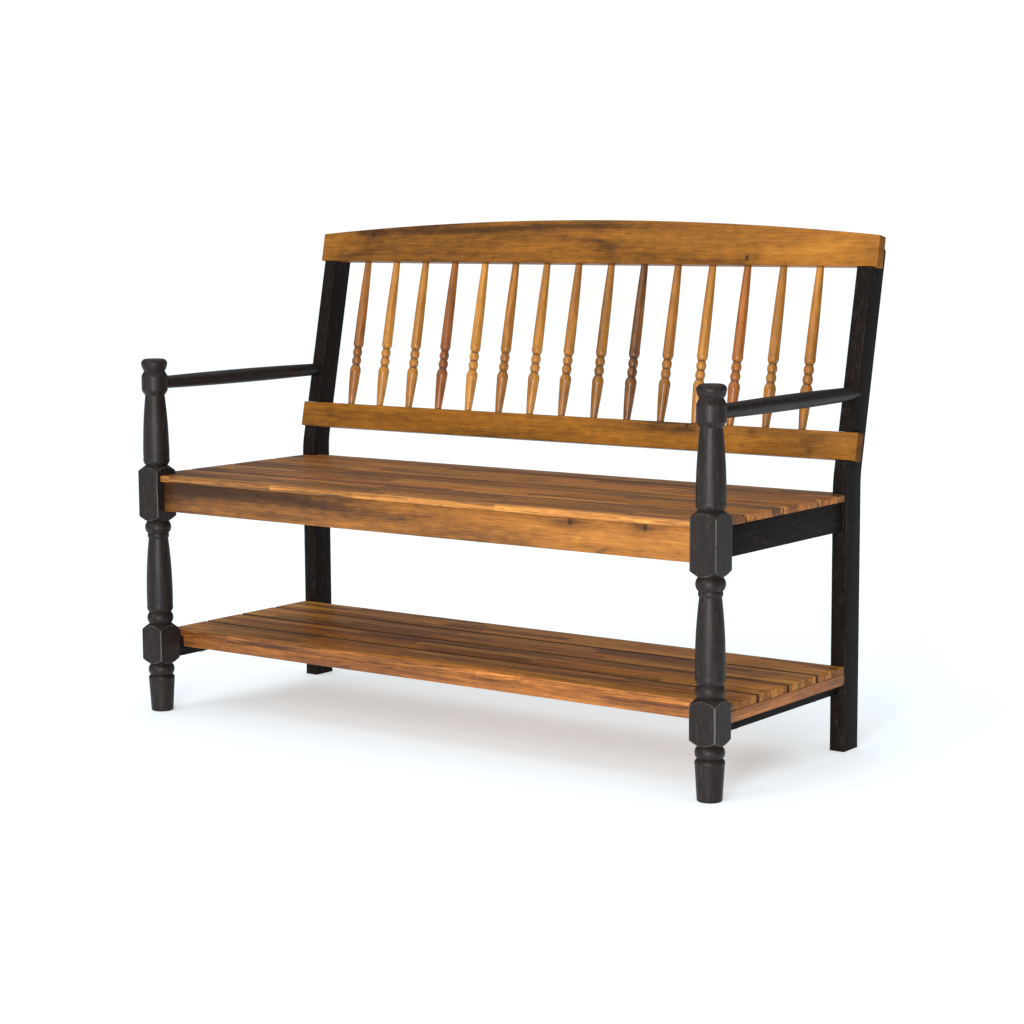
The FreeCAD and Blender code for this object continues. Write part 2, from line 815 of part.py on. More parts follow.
def build_pieces():
    """Every piece of the bench under its own name."""
    pieces = {}
    add_pair(pieces, "front_leg", front_leg())
    add_pair(pieces, "rear_post", rear_post())
    add_pair(pieces, "arm", arm_bar())
    side_rail = seat_side_rail()
    for hole in seat_bolts_right(bolt_clearance):
        side_rail = side_rail.cut(hole)
    add_pair(pieces, "seat_side_rail", side_rail)
    pieces["front_apron"] = front_apron()
    pieces["rear_apron"] = rear_apron()
    add_pair(pieces, "seat_end_cleat", seat_end_cleat())
    add_pair(pieces, "seat_bearer", seat_bearer())
    for index in range(seat_slat_count):
        pieces["seat_slat_%d" % (index + 1)] = seat_slat(index)
    pieces["corner_braces"] = corner_braces()
    pieces["lower_back_rail"] = lower_back_rail()
    pieces["top_rail"] = top_rail()
    for index, x in enumerate(spindle_places()):
        pieces["spindle_%02d" % (index + 1)] = spindle(x)
    add_pair(pieces, "shelf_side_rail", shelf_side_rail())
    for index in range(shelf_slat_count):
        slat = shelf_slat(index)
        for hole in shelf_bolts_right(bolt_clearance):
            slat = slat.cut([hole, mirrored(hole)])
        pieces["shelf_slat_%d" % (index + 1)] = slat
    pieces["shelf_front_rail"] = shelf_long_rail(shelf_front())
    pieces["shelf_rear_rail"] = shelf_long_rail(shelf_rear() - shelf_rail_width)
    add_pair(pieces, "shelf_end_batten", shelf_end_batten())
    add_pair(pieces, "shelf_bearer", shelf_bearer())
    pieces["back_bolts"] = both_sides(back_bolts_right())
    pieces["seat_bolts"] = both_sides(seat_bolts_right())
    pieces["shelf_bolts"] = both_sides(shelf_bolts_right())
    return pieces


def write_pieces(pieces):
    """Centre the bench on its footprint and write one file for each piece."""
    os.makedirs("parts", exist_ok=True)
    box = Part.Compound(list(pieces.values())).optimalBoundingBox()
    shift = Vector(-(box.XMin + box.XMax) / 2, -(box.YMin + box.YMax) / 2, -box.ZMin)
    for name, shape in pieces.items():
        shape.translate(shift)
        shape.exportStep("parts/%s.step" % name)
    print("pieces", len(pieces), "moved by", round(shift.x, 4), round(shift.y, 4), round(shift.z, 4))
    print("size", round(box.XLength, 2), round(box.YLength, 2), round(box.ZLength, 2))


write_pieces(build_pieces())
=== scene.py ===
"""Looks for a hall bench: turned black legs, rod arms, a spindle back, slats and a shelf."""
import math

import bpy
import numpy as np
from bpy.props import FloatProperty, FloatVectorProperty, IntProperty, PointerProperty
from mathutils import Matrix, Vector


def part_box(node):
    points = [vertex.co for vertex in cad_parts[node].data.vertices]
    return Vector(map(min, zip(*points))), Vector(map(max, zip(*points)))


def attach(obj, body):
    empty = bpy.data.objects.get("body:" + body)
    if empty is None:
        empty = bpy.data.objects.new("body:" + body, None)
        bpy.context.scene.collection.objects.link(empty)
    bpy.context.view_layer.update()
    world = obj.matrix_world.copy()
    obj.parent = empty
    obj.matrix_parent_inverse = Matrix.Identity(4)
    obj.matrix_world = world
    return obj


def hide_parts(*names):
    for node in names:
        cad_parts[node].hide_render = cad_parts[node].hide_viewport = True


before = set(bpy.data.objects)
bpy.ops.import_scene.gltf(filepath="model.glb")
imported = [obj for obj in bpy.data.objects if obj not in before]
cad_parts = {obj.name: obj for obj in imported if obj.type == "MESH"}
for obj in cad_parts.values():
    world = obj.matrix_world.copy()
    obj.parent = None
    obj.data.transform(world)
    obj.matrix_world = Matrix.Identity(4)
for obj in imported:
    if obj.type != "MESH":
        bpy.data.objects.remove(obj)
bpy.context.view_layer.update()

bl_info = {
    "name": "Hall bench",
    "version": (1, 0, 0),
    "blender": (4, 5, 0),
    "location": "3D View > Sidebar > Bench",
    "description": "Shapes and finishes the pieces of a hall bench",
    "category": "Object",
}

SIDES = ("left", "right")


def box(node):
    """A node's low and high corner as two arrays."""
    low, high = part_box(node)
    return np.array(low), np.array(high)


# Places that neighbours share, from the solids
LEG_LOW, LEG_HIGH = box("front_leg_right")
LEG_AXIS = (LEG_LOW + LEG_HIGH) / 2
POST_LOW, POST_HIGH = box("rear_post_right")
SEAT_LOW, SEAT_HIGH = box("seat_slat_1")
SHELF_LOW, SHELF_HIGH = box("shelf_slat_1")

# The back leans about the front lower edge of the lower rail, at (y, z)
BACK_FOOT = (0.1638490, 0.502)
RAIL_THICK = 0.022
LOWER_RAIL_TALL = 0.048
SPINDLE_TALL = 0.284
TOP_RAIL_FOOT = LOWER_RAIL_TALL + SPINDLE_TALL
TOP_RAIL_END_TALL = 0.054
TOP_RAIL_RISE = 0.027

# The posts: how deep they are, where and how tightly they bend, how far they lean on, and
# how their tops are rounded, nearly a quarter turn
POST_DEEP = 0.049
POST_LEAN_DEEP = 0.046
BEND_HEIGHT = 0.464
BEND_RADIUS = 0.160
POST_REACH = 0.371
POST_TOP_ROUND = 0.009
POST_TOP_TURN = 1.57

WHITE = (1.0, 1.0, 1.0, 1.0)
CORNER_STEPS = 5
CRISP = 0.0002


# Sizes and colours that a user would change
class BenchSizes(bpy.types.PropertyGroup):
    """Lengths of the pieces that are shaped anew here."""

    block_ease: FloatProperty(
        name="Block ease", description="Rounding of a leg block's corners",
        default=0.0016, unit="LENGTH")
    board_ease: FloatProperty(
        name="Board ease", description="Rounding of the long edges of rails and aprons",
        default=0.0018, unit="LENGTH")
    slat_ease: FloatProperty(
        name="Slat ease", description="Rounding of the edges of the slats",
        default=0.0018, unit="LENGTH")
    nose_round: FloatProperty(
        name="Nose round", description="Rounding of the front edge of the seat",
        default=0.0050, unit="LENGTH")
    lean: FloatProperty(
        name="Back lean", description="How far the back leans from upright",
        default=math.radians(12.0), unit="ROTATION")
    stave_width: FloatProperty(
        name="Stave width", description="Width of the strips glued into a slat",
        default=0.0275, unit="LENGTH")
    stave_length: FloatProperty(
        name="Stave length", description="Usual length of the strips glued into a slat",
        default=0.30, unit="LENGTH")
    spindle_sides: IntProperty(
        name="Spindle sides", description="Columns of faces around a spindle",
        default=40, min=12)
    leg_rows: IntProperty(
        name="Leg rows", description="Rows of faces up a front leg", default=430, min=60)


class BenchFinish(bpy.types.PropertyGroup):
    """Colours of the finishes."""

    honey: FloatVectorProperty(
        name="Honey", description="Lightest tone of the wood", subtype="COLOR",
        default=(0.60, 0.252, 0.048))
    amber: FloatVectorProperty(
        name="Amber", description="Usual tone of the wood", subtype="COLOR",
        default=(0.310, 0.118, 0.018))
    umber: FloatVectorProperty(
        name="Umber", description="Dark tone of the wood", subtype="COLOR",
        default=(0.078, 0.030, 0.008))
    charcoal: FloatVectorProperty(
        name="Charcoal", description="The black paint", subtype="COLOR",
        default=(0.0095, 0.0068, 0.0058))
    # Bare edge: the paint rubbed thin on the arrises, which also serves as their painted highlight.
    bare_and_highlight: FloatVectorProperty(
        name="Bare edge", description="What shows where the paint is rubbed thin",
        subtype="COLOR", default=(0.125, 0.110, 0.096))
    steel: FloatVectorProperty(
        name="Steel", description="The bolts", subtype="COLOR", default=(0.42, 0.42, 0.43))
    floor: FloatVectorProperty(
        name="Floor", description="The pale floor", subtype="COLOR", default=(0.65, 0.75, 0.815))


# Meshes
def make_piece(name, points, quads, triangles=None, attributes=None, sharp=35.0):
    """A mesh object from whole arrays: corners, four-sided faces, then three-sided faces."""
    mesh = bpy.data.meshes.new(name)
    triangles = np.zeros((0, 3), int) if triangles is None else triangles
    mesh.vertices.add(len(points))
    mesh.vertices.foreach_set("co", np.asarray(points, np.float32).ravel())
    loops = np.concatenate([quads.ravel(), triangles.ravel()]).astype(np.int32)
    starts = np.concatenate([
        np.arange(len(quads)) * 4,
        len(quads) * 4 + np.arange(len(triangles)) * 3,
    ]).astype(np.int32)
    mesh.loops.add(len(loops))
    mesh.loops.foreach_set("vertex_index", loops)
    mesh.polygons.add(len(starts))
    mesh.polygons.foreach_set("loop_start", starts)
    mesh.polygons.foreach_set("use_smooth", np.ones(len(starts), bool))
    mesh.update(calc_edges=True)
    mesh.set_sharp_from_angle(angle=math.radians(sharp))
    for key, values in (attributes or {}).items():
        layer = mesh.attributes.new(key, "FLOAT", "POINT")
        layer.data.foreach_set("value", np.asarray(values, np.float32).ravel())
    piece = bpy.data.objects.new(name, mesh)
    bpy.context.scene.collection.objects.link(piece)
    return piece


def skin(name, rings, attributes=None, sharp=35.0):
    """A closed skin over rings of points: quads between neighbours, a fan on each end.

    Point j of ring i joins point j+1 of the same ring and point j of ring i+1. Each end
    closes on the mean of its ring. Rings run counter-clockwise seen from the last one.
    """
    rows, columns = rings.shape[:2]
    points = np.concatenate([rings.reshape(-1, 3), rings[:1].mean(1), rings[-1:].mean(1)])
    row, column = np.meshgrid(np.arange(rows - 1), np.arange(columns), indexing="ij")
    after = (column + 1) % columns
    quads = np.stack([
        row * columns + column, row * columns + after,
        (row + 1) * columns + after, (row + 1) * columns + column,
    ], -1).reshape(-1, 4)
    column = np.arange(columns)
    after = (column + 1) % columns
    first = np.full(columns, rows * columns)
    last_ring = (rows - 1) * columns
    fans = np.concatenate([
        np.stack([first, after, column], -1),
        np.stack([first + 1, last_ring + column, last_ring + after], -1),
    ])
    layers = {}
    for key, values in (attributes or {}).items():
        ends = [values[:1].mean(1), values[-1:].mean(1)]
        layers[key] = np.concatenate([values.reshape(-1)] + ends)
    return make_piece(name, points, quads, fans, layers, sharp)


def own(piece, slot, material, *nodes):
    """Give a finished piece its look, set it under the root body and hide the nodes it stands for.
    The slot is not used.
    """
    piece.data.materials.append(material)
    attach(piece, "root")
    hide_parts(*nodes)


def outline(stations, pitch=0.0002, soften=0.0005):
    """Radii and heights of a turned outline, its arrises rubbed soft.

    Between two stations the line is straight, or an arc whose middle stands out by the
    second one's bulge. With h as half the arc's angle, the point at angle a lies at
    sin(a)/sin(h) half chords from the middle and (cos(a)-cos(h))/sin(h) half chords out.
    The line is then sampled evenly and averaged over a short length.
    """
    radii, heights = [], []
    for (r0, z0, _), (r1, z1, bulge) in zip(stations, stations[1:]):
        run, rise = r1 - r0, z1 - z0
        chord = math.hypot(run, rise)
        part = np.linspace(0.0, 1.0, max(3, int(chord / pitch)))
        along, out = part, 0.0
        if bulge:
            half = 2 * math.atan(2 * bulge / chord)
            angle = half * (2 * part - 1)
            along = 0.5 + np.sin(angle) / math.sin(half) / 2
            out = (np.cos(angle) - math.cos(half)) / math.sin(half) / 2
        radii.append(r0 + run * along + rise * out)
        heights.append(z0 + rise * along - run * out)
    radii, heights = np.concatenate(radii), np.concatenate(heights)
    length = np.append(0, np.cumsum(np.hypot(np.diff(radii), np.diff(heights))))
    even = np.arange(0, length[-1], pitch)
    reach = max(1, int(soften / pitch))
    weights = np.hanning(2 * reach + 3)[1:-1]
    weights /= weights.sum()
    ease = lambda line: np.convolve(np.pad(line, reach, mode="edge"), weights, "valid")
    return [ease(np.interp(even, length, line)) for line in (radii, heights)]


def thin_out(radii, heights, rows, extra=0.0):
    """Fewer rows of an outline, kept close together where it turns.

    Each step counts its length, how much the line's direction turns and an extra weight.
    The rows are spread evenly over the running total of these.
    """
    step = np.hypot(np.diff(radii), np.diff(heights)) + 1e-9
    bearing = np.unwrap(np.arctan2(np.diff(radii), np.diff(heights)))
    turn = np.abs(np.gradient(bearing))
    turn_weight = 0.0035
    total = np.append(0, np.cumsum(step + turn_weight * turn + step * extra))
    wanted = np.linspace(0, total[-1], rows)
    return [np.interp(wanted, total, line) for line in (radii, heights)]


def circle_rings(radii, heights, angles):
    """Rings of a turned form about Z: radius times cosine and sine of each angle."""
    x = radii * np.cos(angles)
    return np.stack([x, radii * np.sin(angles), np.broadcast_to(heights, x.shape)], -1)


def turned(stations, rows, columns, soften=0.0005):
    """Rings of circles up a turned outline, and the heights of the rings."""
    radii, heights = thin_out(*outline(stations, soften=soften), rows)
    angles = np.linspace(0, 2 * math.pi, columns + 1)[:-1]
    return circle_rings(radii[:, None], heights[:, None], angles[None]), heights


def leaned(rings, lean):
    """Points of the back, drawn upright, tilted about the foot of the lower rail."""
    foot_y, foot_z = BACK_FOOT
    y, z = rings[..., 1] - foot_y, rings[..., 2] - foot_z
    return np.stack([
        rings[..., 0],
        foot_y + y * math.cos(lean) + z * math.sin(lean),
        foot_z - y * math.sin(lean) + z * math.cos(lean),
    ], -1)


def rounded_sections(low_a, high_a, low_b, high_b, radii):
    """Rounded rectangles, one for each row: four quarter circles joined by straight sides.

    radii holds the rounding of the corners low-low, high-low, high-high and low-high. The
    points run counter-clockwise when a points right and b up.
    """
    quarter = np.linspace(0, math.pi / 2, CORNER_STEPS)
    corners = ((low_a, low_b, 1, 1, math.pi), (high_a, low_b, -1, 1, 1.5 * math.pi),
               (high_a, high_b, -1, -1, 0.0), (low_a, high_b, 1, -1, 0.5 * math.pi))
    a_values, b_values = [], []
    for (a, b, to_a, to_b, start), radius in zip(corners, radii):
        a_values.append((a + to_a * radius)[:, None] + radius[:, None] * np.cos(quarter + start))
        b_values.append((b + to_b * radius)[:, None] + radius[:, None] * np.sin(quarter + start))
    return np.concatenate(a_values, 1), np.concatenate(b_values, 1)


def corner_wear_and_highlight(shape, amount):
    """Wear and painted highlight on each rounded corner's middle column, none elsewhere."""
    return amount * np.tile(np.arange(shape[1]) % CORNER_STEPS == CORNER_STEPS // 2, (shape[0], 1))


def quarter_steps(radius, count, turn=math.pi / 2):
    """Distances from an end at which its round is drawn: r times 1 - cos(angle)."""
    return radius * (1 - np.cos(np.linspace(0, turn, count)))


def quarter_draw(distance, radius):
    """How far a quarter round draws in: r - sqrt(r^2 - (r-d)^2), and nothing past d = r."""
    left = np.clip(radius - distance, 0, radius)
    return radius - np.sqrt(radius ** 2 - left ** 2)


def board(name, stops, low_a, high_a, low_b, high_b, radii, place, ease=CRISP, wear_and_highlight=None):
    """A board as a rounded section carried along a straight line, with eased ends.

    stops are places along the board where its section is given, twice where it steps.
    Near each end the section draws in as a quarter round does. place turns arrays of
    (along, a, b) into points.
    """
    stops = np.asarray(stops, float)
    start, end = stops[0], stops[-1]
    curve = quarter_steps(ease, 6)
    along = np.sort(np.concatenate([start + curve, end - curve[::-1], stops[1:-1]]))
    apart = lambda line: line + np.append(0, np.diff(line) == 0) * 1e-9
    probe, spread = apart(along), apart(stops)
    take = lambda value: np.interp(
        probe, spread, np.broadcast_to(np.asarray(value, float), stops.shape))
    draw = quarter_draw(np.minimum(along - start, end - along), ease)
    rounds = [np.maximum(take(radius) - draw, 1e-5) for radius in radii]
    a, b = rounded_sections(take(low_a) + draw, take(high_a) - draw,
                            take(low_b) + draw, take(high_b) - draw, rounds)
    layers = {} if wear_and_highlight is None else {"wear_and_highlight": corner_wear_and_highlight(a.shape, wear_and_highlight)}
    return skin(name, place(np.broadcast_to(along[:, None], a.shape), a, b), layers, sharp=40.0)


def plank(node, key, rounds, reach=None, ease=CRISP):
    """A plain board along X in its node's box, or as far as reach to both sides."""
    low, high = box(node)
    ends = (-reach, reach) if reach else (low[0], high[0])
    piece = board(node + "_shape", ends, low[1], high[1], low[2], high[2], rounds, along_x, ease)
    own(piece, "wood", look(key), node)


def along_x(s, a, b):
    """A board that runs along X: a is Y and b is Z."""
    return np.stack([s, a, b], -1)


def along_y(s, a, b):
    """A board that runs along Y: a is Z and b is X."""
    return np.stack([b, s, a], -1)


def metres(rows):
    """Stations in millimetres, as metres."""
    return [tuple(number * 0.001 for number in row) for row in rows]


# A shoulder's cone runs a millimetre past the corner of the leg's square block, and climbs on
# for it by OVER
CORNER = 24.5 * math.sqrt(2)
PAST = CORNER + 1
OVER = 11.0 / (CORNER - 20.0)

# Turned outlines as (radius, height, bulge): the front leg from the floor up, wide where the
# square blocks are left, and a spindle from its lower shoulder up
LEG_OUTLINE = metres([
    (17.9, 0, 0), (20.4, 2.5, 0.8), (23.9, 59, 0), (20.0, 68, 2.0), (20.0, 88, 4.2),
    (PAST, 99 + OVER, 0), (PAST, 154 - OVER, 0), (20.0, 165, 0), (20.0, 186, 4.2),
    (23.9, 199, 1.9), (23.9, 238, 0.3), (17.9, 325.5, 1.1), (18.7, 325.5, 0),
    (18.7, 335, 1.2), (20.0, 335, 0), (20.0, 356, 4.2), (PAST, 367 + OVER, 0),
    (PAST, 450 - OVER, 0), (20.0, 461, 0), (23.9, 474, 1.9), (23.9, 497.4, 0.3),
    (17.9, 590, 1.1), (23.9, 599, 0), (23.9, 626, 0), (18.8, 635, 0), (23.3, 645, 0.8),
    (17.0, 657, 3.2), (0.5, 657, 0),
])
SPINDLE_OUTLINE = metres([
    (5.0, -3, 0), (6.3, 0, 0), (10.3, 62, 0.4), (6.5, 78.5, 1.9), (6.5, 95.2, 2.6),
    (6.5, 111.9, 2.6), (9.7, 125.2, 1.6), (6.3, 284, 0.8), (5.0, 287, 0),
])


# Materials
class Tree:
    """The nodes of a material or a world, added one call at a time."""

    def __init__(self, owner):
        owner.use_nodes = True
        self.owner, self.nodes, self.links = owner, owner.node_tree.nodes, owner.node_tree.links
        self.nodes.clear()

    def plug(self, socket, value):
        """Set a socket to a number or colour, or link another socket to it."""
        if isinstance(value, bpy.types.NodeSocket):
            self.links.new(value, socket)
        elif value is not None:
            socket.default_value = value

    def node(self, kind, *values, **settings):
        """A node with its settings, and its first sockets filled in order."""
        node = self.nodes.new("ShaderNode" + kind)
        for key, setting in settings.items():
            setattr(node, key, setting)
        for socket, value in zip(node.inputs, values):
            self.plug(socket, value)
        return node

    def coordinates(self, kind):
        """The place or the facing of a point."""
        return self.node("TexCoord").outputs[kind]

    def math(self, operation, a, b=None, c=None):
        """One operation on numbers."""
        return self.node("Math", a, b, c, operation=operation).outputs[0]

    def add(self, first, *others):
        """Numbers added up."""
        for other in others:
            first = self.math("ADD", first, other)
        return first

    def times(self, first, *others):
        """Numbers multiplied together."""
        for other in others:
            first = self.math("MULTIPLY", first, other)
        return first

    def vary(self, noise, share):
        """How far a noise is from its middle, times a share."""
        return self.times(self.math("SUBTRACT", noise, 0.5), share)

    def vector(self, operation, a, b=None, scale=None):
        """One operation on vectors."""
        node = self.node("VectorMath", a, b, None, scale, operation=operation)
        return node.outputs["Value" if operation in ("LENGTH", "DOT_PRODUCT") else "Vector"]

    def split(self, vector):
        """The three numbers of a vector."""
        return tuple(self.node("SeparateXYZ", vector).outputs)

    def join(self, x, y, z):
        """A vector from three numbers."""
        return self.node("CombineXYZ", x, y, z).outputs[0]

    def noise(self, place, stretch, detail=2.0, roughness=0.5, distortion=0.0, colour=False):
        """Soft noise, from 0 to 1 about a half, with its grain stretched along each axis."""
        node = self.node("TexNoise", self.vector("MULTIPLY", place, stretch))
        for key, value in (("Scale", 1.0), ("Detail", detail), ("Roughness", roughness),
                           ("Distortion", distortion)):
            node.inputs[key].default_value = value
        return node.outputs["Color" if colour else "Fac"]

    def speck(self, place):
        """Three random numbers for each whole-number place."""
        return self.split(self.node("TexWhiteNoise", place, noise_dimensions="3D").outputs["Color"])

    def span(self, value, low, high, to_low=0.0, to_high=1.0):
        """A number carried smoothly from one range to another, held at its ends."""
        return self.node("MapRange", value, low, high, to_low, to_high,
                         interpolation_type="SMOOTHSTEP").outputs[0]

    def mix(self, share, first, second, blend="MIX"):
        """Two colours mixed by share."""
        node = self.node("Mix", data_type="RGBA", blend_type=blend)
        for key, value in (("Factor", share), ("A", self.rgba(first)), ("B", self.rgba(second))):
            self.plug(node.inputs[key], value)
        return node.outputs["Result"]

    def rgba(self, colour):
        """A colour with its alpha, or a socket as it is."""
        return colour if isinstance(colour, bpy.types.NodeSocket) else (*colour[:3], 1.0)

    def ramp(self, value, stops):
        """A colour from a number by (place, colour) stops."""
        node = self.node("ValToRGB", value)
        elements = node.color_ramp.elements
        for element, (place, colour) in zip(elements, (stops[0], stops[-1])):
            element.position, element.color = place, self.rgba(colour)
        for place, colour in stops[1:-1]:
            elements.new(place).color = self.rgba(colour)
        return node.outputs[0]

    def attribute(self, name):
        """A number that the mesh carries."""
        return self.node("Attribute", attribute_name=name).outputs["Fac"]

    def finish(self, colour, roughness, relief=None, depth=0.0, **others):
        """Shade with a colour, a roughness, a relief and other inputs by name."""
        shader = self.node("BsdfPrincipled", colour)
        self.plug(shader.inputs["Roughness"], roughness)
        if relief is not None:
            bump = self.node("Bump")
            for key, value in (("Strength", 1.0), ("Distance", depth), ("Height", relief)):
                self.plug(bump.inputs[key], value)
            self.plug(shader.inputs["Normal"], bump.outputs[0])
        for key, value in others.items():
            shader.inputs[key.replace("_", " ")].default_value = value
        self.node("OutputMaterial", shader.outputs[0])
        return self.owner


GRAIN_AXES = {"X": (0, 1, 2), "Y": (1, 2, 0), "Z": (2, 0, 1)}


def grain_place(tree, along, lean=0.0):
    """Object coordinates turned so that the first number runs along the grain."""
    turned_back = tree.node("Mapping", tree.coordinates("Object"), None, (lean, 0.0, 0.0))
    parts = tree.split(turned_back.outputs[0])
    return tree.join(*(parts[axis] for axis in GRAIN_AXES[along]))


def lay_staves(tree, grain, width, length, start, seed):
    """Glued strips: each one's own random numbers, and how near its edge a point lies.

    The strip's row is the whole part of the place across the slat over the width. Each row
    is shifted by a random length, and its column is the whole part of the place along.
    """
    u, v, _ = tree.split(grain)
    across = tree.math("DIVIDE", tree.math("SUBTRACT", v, start), width)
    row = tree.math("FLOOR", across)
    shift, stretch, _ = tree.speck(tree.join(row, seed, 0.5))
    pitch = tree.times(length, tree.add(0.75, tree.times(stretch, 0.6)))
    run = tree.add(tree.math("DIVIDE", u, pitch), tree.times(shift, 9.0))
    numbers = tree.speck(tree.join(row, tree.math("FLOOR", run), seed))
    side_gap = tree.times(tree.math("PINGPONG", across, 0.5), width)
    end_gap = tree.times(tree.math("PINGPONG", run, 0.5), pitch)
    return numbers, tree.math("MINIMUM", side_gap, end_gap)


def fade(tree, place, centre, reach, slant=0.0):
    """A soft patch: the exponential of minus the square of the distance over its reach.

    The patch leans by slant: its place across shifts in step with the place along.
    """
    u, v, w = tree.split(tree.vector("SUBTRACT", place, centre))
    w = tree.math("SUBTRACT", w, tree.times(u, slant))
    gap = tree.vector("DIVIDE", tree.join(u, v, w), reach)
    return tree.math("EXPONENT", tree.times(tree.vector("DOT_PRODUCT", gap, gap), -1.0))


def knot(tree, grain, wobble, at, size):
    """A knot: how it pushes the grain aside, and how dark it is.

    The push is the tanh of the distance above or below over the size, within a wide halo.
    The dark core is a soft patch whose rings are a sine of its own logarithm.
    """
    halo = fade(tree, grain, at, (size * 5.0, 1.0, size * 2.2))
    side = tree.math("SUBTRACT", tree.split(grain)[2], at[2])
    push = tree.times(halo, tree.math("TANH", tree.math("DIVIDE", side, size)), -size * 1.1)
    core = fade(tree, wobble, at, (size * 0.42, 1.0, size * 0.60))
    wave = tree.math("SINE", tree.times(tree.math("LOGARITHM", core, 2.718), 3.0))
    ringed = tree.math("MULTIPLY_ADD", wave, 0.22, 0.62)
    return tree.join(0.0, 0.0, push), tree.add(tree.times(core, ringed), tree.times(halo, 0.16))


# The wood's noises: how often they change along and across the grain, in one metre, then
# their detail, roughness and distortion
WOOD_NOISE = {
    "warp": ((3.0, 17.0, 17.0), 2.0, 0.5),
    "clouds": ((2.6, 26.0, 26.0), 4.0, 0.55, 0.5),
    "streaks": ((2.3, 165.0, 165.0), 4.0, 0.66),
    "mottle": ((38.0, 90.0, 90.0), 2.0, 0.5),
    "fibres": ((26.0, 700.0, 700.0), 2.0, 0.65),
    "lines": ((9.0, 330.0, 330.0), 3.0, 0.6),
    "ticks": ((55.0, 480.0, 480.0), 2.0, 0.6),
    "pores": ((60.0, 1300.0, 1300.0), 1.0),
    "end_dots": ((300.0, 620.0, 620.0), 2.0, 0.6),
}
PITH_AWAY = (0.047, 0.031)
RING_RATE = 1900.0


